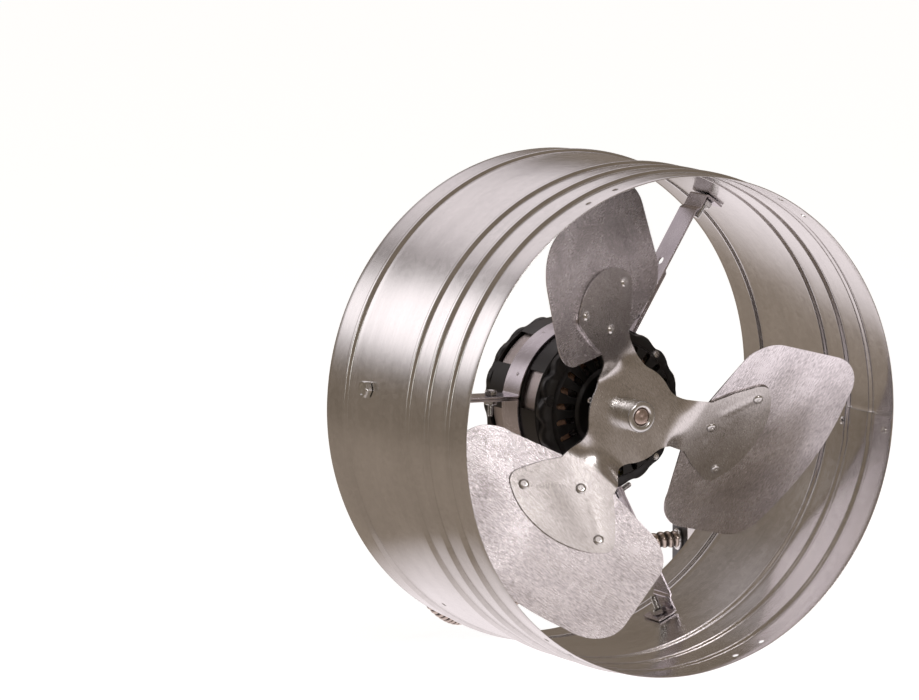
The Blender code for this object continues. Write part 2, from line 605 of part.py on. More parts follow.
def fan(rotor):
    steel = ((0.62, 0.61, 0.57), 0.35, 1)
    hub_profile = [
        (SHAFT_RADIUS + GAP, HUB_FRONT + 1.5 * MM), (SHAFT_RADIUS + 2 * MM, HUB_FRONT),
        (HUB_RADIUS - 1.2 * MM, HUB_FRONT), (HUB_RADIUS, HUB_FRONT + 1.2 * MM),
        (HUB_RADIUS, SPIDER_FRONT + SPIDER_THICKNESS + GAP),
        (HUB_RADIUS + 4 * MM, SPIDER_FRONT + SPIDER_THICKNESS + GAP),
        (HUB_RADIUS + 4 * MM, HUB_BACK), (SHAFT_RADIUS + GAP, HUB_BACK),
    ]
    hub = add("fan_hub", lathe(hub_profile, 24, closed=True), ((0.8, 0.8, 0.78), 0.2, 1), rotor)
    screw_at = HUB_FRONT + 8 * MM
    hole = bmesh.new()
    rod(hole, 3 * MM, (0, screw_at, 0), on_axis(20 * MM, SET_SCREW_ANGLE, screw_at))
    cut(hub, hole)
    screw = bmesh.new()
    rod(screw, 2.6 * MM, on_axis(SHAFT_RADIUS + GAP, SET_SCREW_ANGLE, screw_at),
        on_axis(HUB_RADIUS + 0.6 * MM, SET_SCREW_ANGLE, screw_at))
    add("hub_set_screw", screw, ((0.1, 0.1, 0.1), 0.4, 1), rotor)
    outline = []
    for angle in sorted(a % 360 for a in ARM_ANGLES):
        turn = Matrix.Rotation(math.radians(angle), 2)
        outline += [tuple(turn @ Vector(p)) for p in arm_outline()]
    spider = add("fan_spider", formed_sheet(outline, spider_depth, SPIDER_THICKNESS * 1.2, 12 * MM),
                 steel, rotor)
    holes = bmesh.new()
    rod(holes, HUB_RADIUS + 1.5 * GAP, (0, SPIDER_FRONT - 5 * MM, 0), (0, SPIDER_FRONT + 5 * MM, 0), 24)
    grip = (SPIDER_THICKNESS + BLADE_THICKNESS) * 1.08 + LAP_GAP
    for k, angle in enumerate(ARM_ANGLES, 1):
        arm = empty(f"blade_{k}_arm", rotor, (0, 0, 0), about_axis(angle))
        turn = Matrix.Rotation(-math.radians(angle), 3, "Y")
        bm = formed_sheet(blade_outline(), blade_depth, BLADE_THICKNESS * 1.2, 18 * MM)
        blade = add(f"fan_blade_{k}", bm, ((0.6, 0.6, 0.56), 0.42, 1), arm)
        through = bmesh.new()
        for j, (u, v) in enumerate(RIVETS_ON_ARM, 1):
            spot = Vector((u, spider_depth_on_arm(u, v), v))
            normal = blade_normal(u, v)
            rod(through, 2.5 * MM, spot - normal * 6 * MM, spot + normal * 8 * MM, 10)
            rod(holes, 2.5 * MM, turn @ (spot - normal * 6 * MM), turn @ (spot + normal * 8 * MM), 10)
            bm = rivet(2.1 * MM, 4.2 * MM, 2 * MM, 3.8 * MM, 1.8 * MM, grip)
            tilt = Vector((0, 1, 0)).rotation_difference(normal).to_euler()
            add(f"blade_rivet_{k}{'abc'[j - 1]}", bm, ((0.8, 0.79, 0.76), 0.28, 1), arm, spot, tilt)
        cut(blade, through)
    cut(spider, holes)


def spider_depth_on_arm(u, v):
    return blade_depth(u, v) - LAP_GAP - SPIDER_THICKNESS * 1.2


def shaft(rotor):
    profile = [(0, SHAFT_FRONT), (SHAFT_RADIUS - 0.8 * MM, SHAFT_FRONT),
               (SHAFT_RADIUS, SHAFT_FRONT + 0.8 * MM), (SHAFT_RADIUS, SHAFT_BACK), (0, SHAFT_BACK)]
    add("motor_shaft", lathe(profile, 20), ((0.55, 0.5, 0.46), 0.25, 1), rotor)
    bm = ring(SHAFT_RADIUS + GAP, ROTOR_RADIUS, STATOR_LENGTH, 24)
    add("rotor_core", bm, ((0.45, 0.44, 0.44), 0.4, 1), rotor, (0, MOTOR_MIDDLE, 0))


# ---------------------------------------------------------------- conduit and thermostat box

def fitting():
    """Straight conduit connector along Y: locknut end at y = 0, conduit end at its length."""
    r, length = FITTING_RADIUS, FITTING_LENGTH
    profile = [(0, 0), (r + 1.5 * MM, 0), (r + 1.5 * MM, 4 * MM), (r, 4.5 * MM),
               (r, length - MM), (r - MM, length), (0, length)]
    return lathe(profile, 16)


def locknut():
    """Ring along Y from the box's end wall at y = 0."""
    r, length = LOCKNUT_RADIUS, LOCKNUT_LENGTH
    return lathe([(0, 0), (r, 0), (r, length - 0.6 * MM), (r - 0.6 * MM, length), (0, length)], 16)


def box_direction():
    turn = math.radians(BOX_TURN)
    return Vector((math.cos(turn), math.sin(turn), 0))


def conduit(parent):
    add("motor_conduit_fitting", fitting(), ((0.7, 0.69, 0.66), 0.35, 1), parent, MOTOR_EXIT)
    curve = bpy.data.curves.new("flexible_conduit", "CURVE")
    curve.dimensions = "3D"
    curve.bevel_depth = CONDUIT_RADIUS
    curve.bevel_resolution = 3
    curve.use_fill_caps = True
    motor_end = MOTOR_EXIT + Vector((0, FITTING_LENGTH + GAP, 0))
    box_end = BOX_ENTRY - box_direction() * (LOCKNUT_LENGTH + 2 * GAP)
    first_way, last_way = Vector((0, 1, 0)), box_direction()
    route = [motor_end + first_way * STUB, *(Vector(p) * MM for p in CONDUIT_ROUTE),
             box_end - last_way * STUB]
    line = [motor_end, *smooth_line(route, 4 * CONDUIT_RADIUS, first_way, last_way), box_end]
    spline = curve.splines.new("POLY")
    spline.points.add(len(line) - 1)
    for point, here in zip(spline.points, line):
        point.co = (*here, 1)
    made = bpy.data.objects.new("flexible_conduit", curve)
    made.parent = parent
    curve.materials.append(material("flexible_conduit", (0.45, 0.4, 0.34), 0.4, 1))
    bpy.context.scene.collection.objects.link(made)


def tray(size, wall):
    """Box along its own axes, open at -Y, its middle at the origin."""
    bm = block(size)
    front = min(bm.faces, key=lambda f: f.calc_center_median().y)
    bmesh.ops.inset_region(bm, faces=[front], thickness=wall)
    inner = bmesh.ops.extrude_discrete_faces(bm, faces=[front])["faces"][0]
    bmesh.ops.translate(bm, verts=inner.verts, vec=(0, size.y - wall, 0))
    return bm


def thermostat(parent):
    black = ((0.03, 0.03, 0.03), 0.4, 0)
    zinc = ((0.75, 0.74, 0.72), 0.3, 1)
    centre = BOX_ENTRY + box_direction() * BOX_SIZE.x / 2
    place = empty("thermostat_place", parent, centre, (0, 0, math.radians(BOX_TURN)))
    body = tray(BOX_SIZE, BOX_WALL)
    add("thermostat_box", body, black, place)
    add("box_conduit_fitting", locknut(), zinc, place, (-BOX_SIZE.x / 2 - GAP, 0, 0),
        (0, 0, math.radians(90)))
    front = -BOX_SIZE.y / 2 - GAP
    cover_size = (BOX_SIZE.x + 2 * MM, COVER_THICKNESS, BOX_SIZE.z - 0.4 * MM)
    cover = add("thermostat_cover", block(cover_size), zinc, place,
                (0, front - COVER_THICKNESS / 2, 0))
    holes = bmesh.new()
    rod(holes, STEM_RADIUS + 2 * GAP, (0, -5 * MM, 0), (0, 5 * MM, 0), 16)
    for side in (-1, 1):
        rod(holes, 2 * MM, (side * 42 * MM, -5 * MM, 0), (side * 42 * MM, 5 * MM, 0), 10)
    cut(cover, holes)
    face = front - COVER_THICKNESS - GAP
    for k, side in enumerate((-1, 1), 1):
        bm = lathe([(0, -2 * MM), (2.6 * MM, -1.6 * MM), (3.4 * MM, 0), (1.6 * MM, 0),
                    (1.6 * MM, 9 * MM), (0, 9 * MM)], 12)
        add(f"cover_screw_{k}", bm, zinc, place, (side * 42 * MM, face, 0))
    switch_front = front + 6 * MM
    add("thermostat_switch", block((38 * MM, 20 * MM, 26 * MM)), ((0.5, 0.45, 0.35), 0.5, 0), place,
        (0, switch_front + 10 * MM, 0))
    stem_end = switch_front - face - GAP
    dial_profile = [
        (0, -DIAL_HEIGHT), (DIAL_RADIUS - 2 * MM, -DIAL_HEIGHT), (DIAL_RADIUS - MM, -DIAL_HEIGHT + MM),
        (DIAL_RADIUS, -GAP), (STEM_RADIUS, -GAP), (STEM_RADIUS, stem_end), (0, stem_end),
    ]
    dial_axis = empty("dial_axis", place, (0, face, 0))
    add("thermostat_dial", lathe(dial_profile, 24), ((0.06, 0.06, 0.06), 0.4, 0), dial_axis)


def build():
    for old in list(bpy.data.objects):
        bpy.data.objects.remove(old, do_unlink=True)
    axis = empty("drum_axis", None, (0, -DRUM_DEPTH / 2, DRUM_RADIUS + BEAD_HEIGHT))
    drum_shell(axis)
    seam_rivets(axis)
    straps(axis)
    fasteners(axis)
    motor(axis)
    rotor = empty("fan_axis", axis)
    shaft(rotor)
    fan(rotor)
    conduit(axis)
    thermostat(axis)


build()
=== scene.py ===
"""Looks for the gable-mount power attic fan: sheet metal, fan, motor, conduit and thermostat.

Pieces of the drum and fan are made in drum coordinates: origin on the drum's axis in the plane
of the front rim, X right, Y into the drum, Z up. Angles about the axis start at +X and grow
towards +Z.
"""

import math

import bmesh
import bpy
from mathutils import Matrix, Vector, noise


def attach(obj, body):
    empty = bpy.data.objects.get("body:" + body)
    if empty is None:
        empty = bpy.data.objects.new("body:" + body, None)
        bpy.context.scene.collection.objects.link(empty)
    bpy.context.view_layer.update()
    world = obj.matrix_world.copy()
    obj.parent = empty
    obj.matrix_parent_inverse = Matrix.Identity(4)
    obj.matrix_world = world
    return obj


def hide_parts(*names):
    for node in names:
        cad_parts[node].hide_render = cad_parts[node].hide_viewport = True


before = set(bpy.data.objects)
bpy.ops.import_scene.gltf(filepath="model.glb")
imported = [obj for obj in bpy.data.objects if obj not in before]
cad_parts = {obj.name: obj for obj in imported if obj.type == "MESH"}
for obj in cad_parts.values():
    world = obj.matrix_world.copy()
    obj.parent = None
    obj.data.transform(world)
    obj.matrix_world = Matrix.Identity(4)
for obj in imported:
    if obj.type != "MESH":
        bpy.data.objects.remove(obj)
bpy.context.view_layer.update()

MM = 0.001
TO_ROW = Matrix.Translation((0, -0.1075, 0.1989))

# Driving sizes in mm and angles in degrees
DRUM_DEPTH = 215
DRUM_RADIUS = 196.5
SHEET = 0.8
BEADS = [29.6, 61, 90, 185.4]
SEAM_ANGLE = -5.7
STRAP_ANGLES = [57.6, 177.6, 297.6]
STRAP_DEPTH = 152
STRAP_WIDTH = 24
STRAP_THICKNESS = 1.6
STRAP_OFFSET = -5.5
MOTOR_MIDDLE = 152.5
STUD_CIRCLE = 57.4
STUD_ANGLES = [45, 135, 225, 315]
ARM_ANGLES = [106.5, -13.5, 226.5]
BLADE_TIP = 177.8
SPIDER_FRONT = 76.6
SPIDER_THICKNESS = 1.75
LAP_GAP = 0.35                      # between the spider's arms and the blades
BLADE_THICKNESS = 1.3
RIVETS = [(98, 30.6), (98, -31), (73.2, 1.3)]
SET_SCREW_ANGLE = -35
SET_SCREW_DEPTH = 68.5


def shift(x, y, z):
    """Move by millimetres."""
    return Matrix.Translation(Vector((x, y, z)) * MM)


def spin(degrees, axis="Y"):
    return Matrix.Rotation(math.radians(degrees), 4, axis)


# ---- camera, light and floor

ROOM = (0.2, 0.16, 0.125)
FLOOR_SHADE = (0.29, 0.235, 0.19)
FLOOR_LIT = (1.02, 0.93, 0.95)


def link(obj):
    bpy.context.scene.collection.objects.link(obj)
    return obj


def make_camera():
    """Long lens, ahead of the fan's left side and above its middle."""
    data = bpy.data.cameras.new("Camera")
    data.sensor_width = 36
    data.lens = 248.3
    data.clip_end = 100
    camera = link(bpy.data.objects.new("Camera", data))
    right = Vector((0.86065, -0.50919, 0.0001))
    forward = Vector((0.503545, 0.851083, -0.14866))
    up = right.cross(forward)
    camera.matrix_world = Matrix.Translation((-2.6171, -4.1892, 0.9883)) @ Matrix((
        (right.x, up.x, -forward.x), (right.y, up.y, -forward.y), (right.z, up.z, -forward.z),
    )).to_4x4()
    bpy.context.scene.camera = camera


def softbox(name, where, target, size, power, colour=(1, 1, 1)):
    data = bpy.data.lights.new(name, "AREA")
    data.shape = "RECTANGLE"
    data.size, data.size_y = size
    data.energy = power
    data.color = colour
    lamp = link(bpy.data.objects.new(name, data))
    lamp.location = where
    lamp.rotation_euler = facing(where, target)
    lamp.visible_camera = False
    return lamp


def card(name, wide, deep, height, look):
    """A flat studio panel that faces up, for the floor or to be turned towards the object."""
    mesh = bpy.data.meshes.new(name)
    corners = [(-wide, -deep, height), (wide, -deep, height), (wide, deep, height), (-wide, deep, height)]
    mesh.from_pydata(corners, [], [(0, 1, 2, 3)])
    made = link(bpy.data.objects.new(name, mesh))
    mesh.materials.append(look.material)
    return made


def only_in_metal(obj):
    """Seen only by reflection, as a photographer's card is."""
    obj.visible_camera = False
    obj.visible_diffuse = False
    obj.visible_shadow = False
    obj.visible_transmission = False


def facing(where, target):
    return (Vector(target) - Vector(where)).to_track_quat("-Z", "Y").to_euler()


def glow(name, where, target, size, colour):
    """A soft-edged light box that only the metal sees."""
    wide, high = size[0] / 2, size[1] / 2
    look = Look(name, 0.0, 1.0, (0, 0, 0))
    away = look.length(look.place((1 / wide, 1 / high, 1)))
    look.finish(Emission_Color=look.mix(look.span(away, 0, 1, 0.35, 1.0), colour, (0, 0, 0)),
                Emission_Strength=1.0, Alpha=look.span(away, 1, 0, 0.5, 1.0), Specular_IOR_Level=0.0)
    made = card(name, wide, high, 0, look)
    made.location = where
    made.rotation_euler = facing(where, target)
    only_in_metal(made)


def shining_floor():
    """What the metal sees of the floor: bright behind the fan and to its right, dim elsewhere."""
    look = Look("floor_shine", 0.0, 1.0, (0, 0, 0))
    where = look.node("TexCoord").outputs["Object"]
    parts = look.node("SeparateXYZ", Vector=where).outputs
    edge = look.math("MULTIPLY", look.math("MAXIMUM", look.math("SUBTRACT", parts["Y"], 0.15)), 0.9)
    lit = look.span(look.math("SUBTRACT", parts["X"], edge), 0, 1, -0.26, -0.11)
    near = look.span(look.length(where), 0, 1, 0.8, 1.4)
    ahead = look.span(parts["Y"], 0, 1, -0.65, -0.3)
    tone = look.mix(look.math("MULTIPLY", lit, ahead), FLOOR_SHADE, FLOOR_LIT)
    look.finish(Emission_Color=look.mix(near, tone, ROOM), Emission_Strength=1.0, Specular_IOR_Level=0.0)
    only_in_metal(card("floor_shine", 3, 3, -0.001, look))


def make_studio():
    """White floor and soft lights; the glows stand behind the drum and show only in its metal."""
    scene = bpy.context.scene
    scene.view_settings.view_transform = "Standard"
    world = bpy.data.worlds.new("World")
    world.use_nodes = True
    world.node_tree.nodes["Background"].inputs["Color"].default_value = (*ROOM, 1)
    scene.world = world
    softbox("key", (0.02, -3.4, 1.72), (0, 0, 0.2), (1.0, 0.7), 20, (1, 0.95, 0.97))
    softbox("fill", (-1.1, -3.3, 3.0), (0, 0, 0.2), (2.6, 1.6), 8, (1, 0.94, 0.98))
    softbox("left", (-2.6, 0.25, 0.9), (0, 0, 0.2), (0.5, 1.0), 4)
    softbox("top", (0.3, -0.3, 2.6), (0, 0, 0.1), (1.6, 1.6), 7).visible_glossy = False
    softbox("right", (2.8, -1.6, 1.5), (0, 0, 0.1), (0.8, 1.4), 4).visible_glossy = False
    glow("back_left", (-0.53, 0.6, 0.53), (-0.15, 0, 0.27), (0.6, 0.62), (1.5, 1.4, 1.43))
    glow("back_top", (0.06, 0.6, 0.86), (0, 0, 0.3), (1.8, 0.9), (0.9, 0.82, 0.84))
    white = Look("floor", 0.0, 0.8)
    white.finish(Specular_IOR_Level=0.1, Emission_Color=(1, 1, 1, 1), Emission_Strength=0.9)
    floor = card("floor", 9, 9, -0.0002, white)
    floor.visible_glossy = False
    floor.visible_diffuse = False
    shining_floor()


# ---- mesh helpers

def make(name, bm, look, stands_for, matrix=TO_ROW, sharp=32, body="housing"):
    """Turn a bmesh into a smooth named piece that rides on a body."""
    bmesh.ops.recalc_face_normals(bm, faces=bm.faces)
    mesh = bpy.data.meshes.new(name)
    bm.to_mesh(mesh)
    bm.free()
    mesh.shade_smooth()
    mesh.set_sharp_from_angle(angle=math.radians(sharp))
    made = link(bpy.data.objects.new(name, mesh))
    made.data.materials.append(LOOKS[look])
    made.matrix_world = matrix
    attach(made, body)
    if stands_for:
        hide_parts(*stands_for)
    return made


def on_axis(radius, angle, depth):
    """A point in mm from its radius, angle and depth in the drum."""
    turn = math.radians(angle)
    return Vector((radius * math.cos(turn), depth, radius * math.sin(turn)))


def turned(angle):
    """Drum coordinates turned about the axis by the angle."""
    return TO_ROW @ spin(-angle)


def hexagon(angle):
    side = (angle + math.pi / 6) % (math.pi / 3) - math.pi / 6
    return min(math.cos(math.pi / 6) / math.cos(math.pi / 6 - abs(side)), 0.985)


def lathe(profile, segments, closed=False, shape=None):
    """Turn (radius, y) points in mm about Y. shape(k, angle) scales profile point k at an angle."""
    bm = bmesh.new()
    rings = []
    for k, (radius, depth) in enumerate(profile):
        radius *= MM
        depth *= MM
        if radius == 0:
            rings.append([bm.verts.new((0, depth, 0))])
            continue
        ring = []
        for step in range(segments):
            angle = math.tau * step / segments
            r = radius * (shape(k, angle) if shape else 1)
            ring.append(bm.verts.new((r * math.cos(angle), depth, r * math.sin(angle))))
        rings.append(ring)
    pairs = list(zip(rings, rings[1:]))
    if closed:
        pairs.append((rings[-1], rings[0]))
    for one, two in pairs:
        for step in range(segments):
            after = (step + 1) % segments
            corners = [one[step % len(one)], two[step % len(two)]]
            if len(two) > 1:
                corners.append(two[after])
            if len(one) > 1:
                corners.append(one[after])
            bm.faces.new(corners)
    return bm


def rod(bm, radius, start, end, segments=24):
    """Cylinder between two points, in mm."""
    start, end = Vector(start) * MM, Vector(end) * MM
    turn = (end - start).to_track_quat("Z", "Y").to_matrix().to_4x4()
    bmesh.ops.create_cone(
        bm, cap_ends=True, segments=segments, radius1=radius * MM, radius2=radius * MM,
        depth=(end - start).length, matrix=Matrix.Translation((start + end) / 2) @ turn)


def slab(bm, size, matrix):
    """Block with its size in mm."""
    bmesh.ops.create_cube(bm, size=1, matrix=matrix @ Matrix.Diagonal((*(Vector(size) * MM), 1)))


def settle(obj):
    """Replace an object's mesh with the result of its modifiers."""
    graph = bpy.context.evaluated_depsgraph_get()
    mesh = bpy.data.meshes.new_from_object(obj.evaluated_get(graph))
    obj.modifiers.clear()
    obj.data = mesh


def carve(obj, cutter):
    """Subtract a bmesh given in the object's own coordinates."""
    bmesh.ops.recalc_face_normals(cutter, faces=cutter.faces)
    mesh = bpy.data.meshes.new("cutter")
    cutter.to_mesh(mesh)
    cutter.free()
    tool = link(bpy.data.objects.new("cutter", mesh))
    tool.matrix_world = obj.matrix_world
    boolean = obj.modifiers.new("cut", "BOOLEAN")
    boolean.operation = "DIFFERENCE"
    boolean.object = tool
    bpy.context.view_layer.update()
    settle(obj)
    bpy.data.objects.remove(tool, do_unlink=True)
    obj.data.set_sharp_from_angle(angle=math.radians(32))


def soften(obj, width, segments=2, angle=45):
    """Round the sharp edges by a width in mm."""
    bevel = obj.modifiers.new("edges", "BEVEL")
    bevel.width = width * MM
    bevel.segments = segments
    bevel.limit_method = "ANGLE"
    bevel.angle_limit = math.radians(angle)
    bevel.harden_normals = True
    return obj


def arc(centre, radius, first, last, steps):
    angles = [math.radians(first + (last - first) * k / steps) for k in range(steps + 1)]
    return [(centre[0] + radius * math.cos(a), centre[1] + radius * math.sin(a)) for a in angles]


def rounded(path, radius, steps=6, keep=()):
    """Open path with its corners replaced by arcs."""
    out = [Vector(path[0])]
    for before, here, after in zip(path, path[1:], path[2:]):
        a, p, b = Vector(before), Vector(here), Vector(after)
        one, two = (a - p).normalized(), (b - p).normalized()
        bend = math.pi - one.angle(two)
        if bend < math.radians(6):
            out.append(p)
            continue
        reach = min(radius * math.tan(bend / 2), 0.45 * (a - p).length, 0.45 * (b - p).length)
        for k in range(steps + 1):
            t = k / steps
            out.append((p + one * reach) * (1 - t) ** 2 + p * 2 * t * (1 - t) + (p + two * reach) * t * t)
    out.append(Vector(path[-1]))
    return out


def ribbon(path, thickness):
    """Outline of a strip of even thickness along a path."""
    left, right = [], []
    for k, here in enumerate(path):
        before = (here - path[max(k - 1, 0)]).normalized() if k else None
        after = (path[k + 1] - here).normalized() if k + 1 < len(path) else None
        before, after = before or after, after or before
        side = Vector((-(before + after).y, (before + after).x)).normalized()
        reach = thickness / 2 / max(side.dot(Vector((-after.y, after.x))), 0.5)
        left.append(tuple(here + side * reach))
        right.append(tuple(here - side * reach))
    return left + right[::-1]


def thicken(bm, faces, depth):
    raised = bmesh.ops.extrude_face_region(bm, geom=faces)["geom"]
    moved = [v for v in raised if isinstance(v, bmesh.types.BMVert)]
    bmesh.ops.translate(bm, verts=moved, vec=(0, depth, 0))


def plate_of(points, thickness):
    """Flat outline of (x, z) points in mm, with half its thickness on each side of y = 0."""
    bm = bmesh.new()
    face = bm.faces.new([bm.verts.new(Vector((x, -thickness / 2, z)) * MM) for x, z in points])
    thicken(bm, [face], thickness * MM)
    return bm


# ---- materials

class Look:
    """Small helper for node materials."""

    def __init__(self, name, metallic=1.0, roughness=0.4, colour=(0.5, 0.5, 0.5)):
        self.material = bpy.data.materials.new(name)
        self.material.use_nodes = True
        self.tree = self.material.node_tree
        self.shader = self.tree.nodes["Principled BSDF"]
        self.put(self.shader, "Metallic", metallic)
        self.put(self.shader, "Roughness", roughness)
        self.put(self.shader, "Base Color", (*colour, 1))

    def plug(self, socket, value):
        if isinstance(value, bpy.types.NodeSocket):
            self.tree.links.new(value, socket)
        else:
            socket.default_value = value

    def put(self, node, name, value):
        self.plug(node.inputs[name], value)

    def node(self, kind, settings=None, **inputs):
        made = self.tree.nodes.new("ShaderNode" + kind)
        for name, value in (settings or {}).items():
            setattr(made, name, value)
        for name, value in inputs.items():
            self.put(made, name.replace("_", " "), value)
        return made

    def place(self, scale=(1, 1, 1), source="Object", turn=(0, 0, 0)):
        """Object or sheet coordinates, in metres times the scale."""
        coords = self.node("TexCoord").outputs[source]
        return self.node("Mapping", Vector=coords, Scale=scale, Rotation=turn).outputs["Vector"]

    def noise(self, vector, scale, detail=4, rough=0.55):
        return self.node("TexNoise", Vector=vector, Scale=scale, Detail=detail,
                         Roughness=rough).outputs["Fac"]

    def grain(self, scale, detail=4, rough=0.55, source="UV"):
        return self.noise(self.place(scale, source), 1.0, detail, rough)

    def cloud(self, scale, detail=4, rough=0.55):
        """Even noise in the solid, finer with a larger scale."""
        return self.grain((scale, scale, scale), detail, rough, "Object")

    def spangle(self, scale):
        """One grey for each crystal of the zinc."""
        cells = self.node("TexVoronoi", {"feature": "F1"}, Vector=self.place(scale, "UV"), Scale=1.0)
        return self.node("RGBToBW", Color=cells.outputs["Color"]).outputs["Val"]

    def length(self, vector):
        return self.node("VectorMath", {"operation": "LENGTH"}, Vector=vector).outputs["Value"]

    def wave(self, kind, **inputs):
        """Bands along Y or rings round it."""
        settings = {"wave_type": kind, "rings_direction": "Y", "bands_direction": "Y"}
        return self.node("TexWave", settings, Vector=self.place(), **inputs).outputs["Fac"]

    def span(self, value, low, high, start=0.3, end=0.7):
        """Map a value between start and end onto low to high."""
        made = self.node("MapRange", Value=value)
        for name, number in (("From Min", start), ("From Max", end), ("To Min", low), ("To Max", high)):
            self.put(made, name, number)
        return made.outputs["Result"]

    def math(self, operation, a, b=0.0):
        made = self.node("Math", {"operation": operation})
        for socket, value in zip(made.inputs, (a, b)):
            self.plug(socket, value)
        return made.outputs["Value"]

    def mix(self, amount, one, two):
        made = self.node("Mix", {"data_type": "RGBA"})
        self.plug(made.inputs[0], amount)
        for socket, value in ((made.inputs[6], one), (made.inputs[7], two)):
            self.plug(socket, (*value, 1) if isinstance(value, tuple) else value)
        return made.outputs[2]

    def blend(self, *parts):
        """Weighted sum of (value, weight) pairs."""
        total = self.math("MULTIPLY", *parts[0])
        for part in parts[1:]:
            total = self.math("ADD", total, self.math("MULTIPLY", *part))
        return total

    def bump(self, height, distance, strength=1.0, normal=None):
        made = self.node("Bump", Height=height, Distance=distance, Strength=strength)
        if normal:
            self.put(made, "Normal", normal)
        return made.outputs["Normal"]

    def finish(self, **inputs):
        for name, value in inputs.items():
            self.put(self.shader, name.replace("_", " "), value)
        return self.material


def rolled_sheet(name, dark, light, low, high):
    """Galvanised sheet: streaks along the rolling direction (u), faint spangle and stains."""
    look = Look(name)
    fine = look.grain((6, 420, 1), 6, 0.65)
    broad = look.grain((9, 60, 1), 3)
    stain = look.grain((11, 17, 11), 4, 0.6)
    spangle = look.spangle((260, 200, 1))
    tone = look.blend((stain, 0.55), (broad, 0.3), (spangle, 0.15))
    colour = look.mix(look.span(tone, 0, 1, 0.36, 0.64), dark, light)
    wear = look.blend((fine, 0.5), (stain, 0.35), (spangle, 0.15))
    rough = look.span(wear, low, high, 0.36, 0.66)
    normal = look.bump(fine, 0.00002, 0.6)
    tangent = look.node("Tangent", {"direction_type": "RADIAL", "axis": "Y"}).outputs["Tangent"]
    return look.finish(Base_Color=colour, Roughness=rough, Normal=normal, Anisotropic=0.45,
                       Tangent=tangent)


def spangled(name, dark, light, low, high, turn, sparkle, crystal):
    """Galvanised pressing: dense short scratches at an angle over a cloudy, faintly crystalline zinc."""
    look = Look(name)
    turned_sheet = look.place((1, 1, 1), "UV", (0, 0, math.radians(turn)))

    def lined(scale, detail, rough=0.55):
        mapped = look.node("Mapping", Vector=turned_sheet, Scale=scale).outputs["Vector"]
        return look.noise(mapped, 1.0, detail, rough)

    scratch = lined((250, 1150, 1), 3, 0.7)
    long = lined((40, 700, 1), 3, 0.6)
    speck = look.grain((900, 900, 900), 2, 0.6)
    cloud = look.grain((26, 26, 26), 5, 0.62)
    spangle = look.spangle((200, 200, 200))
    tone = look.blend((cloud, 0.35 - crystal), (scratch, 0.65), (spangle, crystal))
    colour = look.mix(look.span(tone, 0, 1, 0.36, 0.56), dark, light)
    wear = look.blend((scratch, 0.4), (cloud, 0.6))
    rough = look.span(wear, low, high, 0.36, 0.64)
    height = look.blend((scratch, 1.0), (speck, 0.5), (long, 0.7))
    waves = look.bump(lined((9, 26, 1), 1), 0.002)
    return look.finish(Base_Color=colour, Roughness=rough, Normal=look.bump(height, sparkle, 0.9, waves))


def plated(name, dark, light, low, high, scale=60, turned_rings=False, sparkle=0.00001):
    """Smooth plated or turned metal with faint cloudiness; rings about Y if it was turned."""
    look = Look(name)
    cloud = look.cloud(scale, 4, 0.6)
    speck = look.cloud(1500, 2)
    height = look.blend((cloud, 0.4), (speck, 0.6))
    if turned_rings:
        rings = look.wave("RINGS", Scale=700.0, Distortion=0.6, Detail=1.0)
        height = look.math("ADD", height, look.math("MULTIPLY", rings, 0.8))
    colour = look.mix(look.span(cloud, 0, 1), dark, light)
    rough = look.span(height, low, high, 0.3, 0.8)
    return look.finish(Base_Color=colour, Roughness=rough, Normal=look.bump(height, sparkle, 0.5))


def painted(name, colour, dust, low, high, peel=0.00004):
    """Paint with orange peel and a little dust in broad patches."""
    look = Look(name, metallic=0.0)
    cloud = look.cloud(40, 5, 0.6)
    bumps = look.cloud(420, 2)
    tone = look.mix(look.span(cloud, 0, 1, 0.45, 0.75), colour, dust)
    return look.finish(Base_Color=tone, Roughness=look.span(cloud, low, high),
                       Normal=look.bump(bumps, peel, 0.5))


def strip_wound(name):
    """Dull steel strip, lighter on the crests; painted shade darkens the grooves between the turns and makes
    them less metallic.
    """
    look = Look(name)
    turns = look.node("SeparateXYZ", Vector=look.place((1, 1, 1), "UV")).outputs["X"]
    away = look.math("PINGPONG", turns, 0.5)
    cloud = look.cloud(150, 4, 0.6)
    depth = look.math("ADD", away, look.math("MULTIPLY", look.math("SUBTRACT", cloud, 0.5), 0.25))
    # painted shade: colour goes from the strip's light crest to near black in the groove between the turns
    colour = look.mix(look.span(depth, 0, 1, 0.2, 0.42), (0.56, 0.48, 0.42), (0.05, 0.036, 0.028))
    rough = look.span(cloud, 0.22, 0.4)
    # painted shade also lowers the metallic value in the grooves
    return look.finish(Base_Color=colour, Roughness=rough, Metallic=look.span(depth, 1, 0.5, 0.25, 0.45),
                       Normal=look.bump(cloud, 0.00006, 0.5))


def laminated(name):
    """Stacked steel laminations: fine dark lines across the motor's axis."""
    look = Look(name, metallic=0.85)
    lines = look.wave("BANDS", Scale=240.0, Distortion=0.4, Detail=2.0, Detail_Scale=3.0)
    cloud = look.grain((120, 30, 120), source="Object")
    tone = look.math("MULTIPLY", look.span(lines, 0.45, 1, 0.1, 0.6), look.span(cloud, 0.75, 1))
    colour = look.mix(tone, (0.16, 0.13, 0.13), (0.9, 0.82, 0.8))
    return look.finish(Base_Color=colour, Roughness=look.span(cloud, 0.32, 0.5),
                       Normal=look.bump(lines, 0.0001, 0.6))


def wound(name):
    """Varnished copper wire: strands run round the ring."""
    look = Look(name, metallic=0.35)
    strands = look.wave("RINGS", Scale=330.0, Distortion=3.0, Detail=2.0, Detail_Scale=2.0)
    cloud = look.cloud(90)
    colour = look.mix(look.math("MULTIPLY", strands, look.span(cloud, 0.5, 1)),
                      (0.1, 0.045, 0.025), (0.72, 0.45, 0.3))
    return look.finish(Base_Color=colour, Roughness=look.span(cloud, 0.3, 0.5),
                       Normal=look.bump(strands, 0.0004, 0.8))


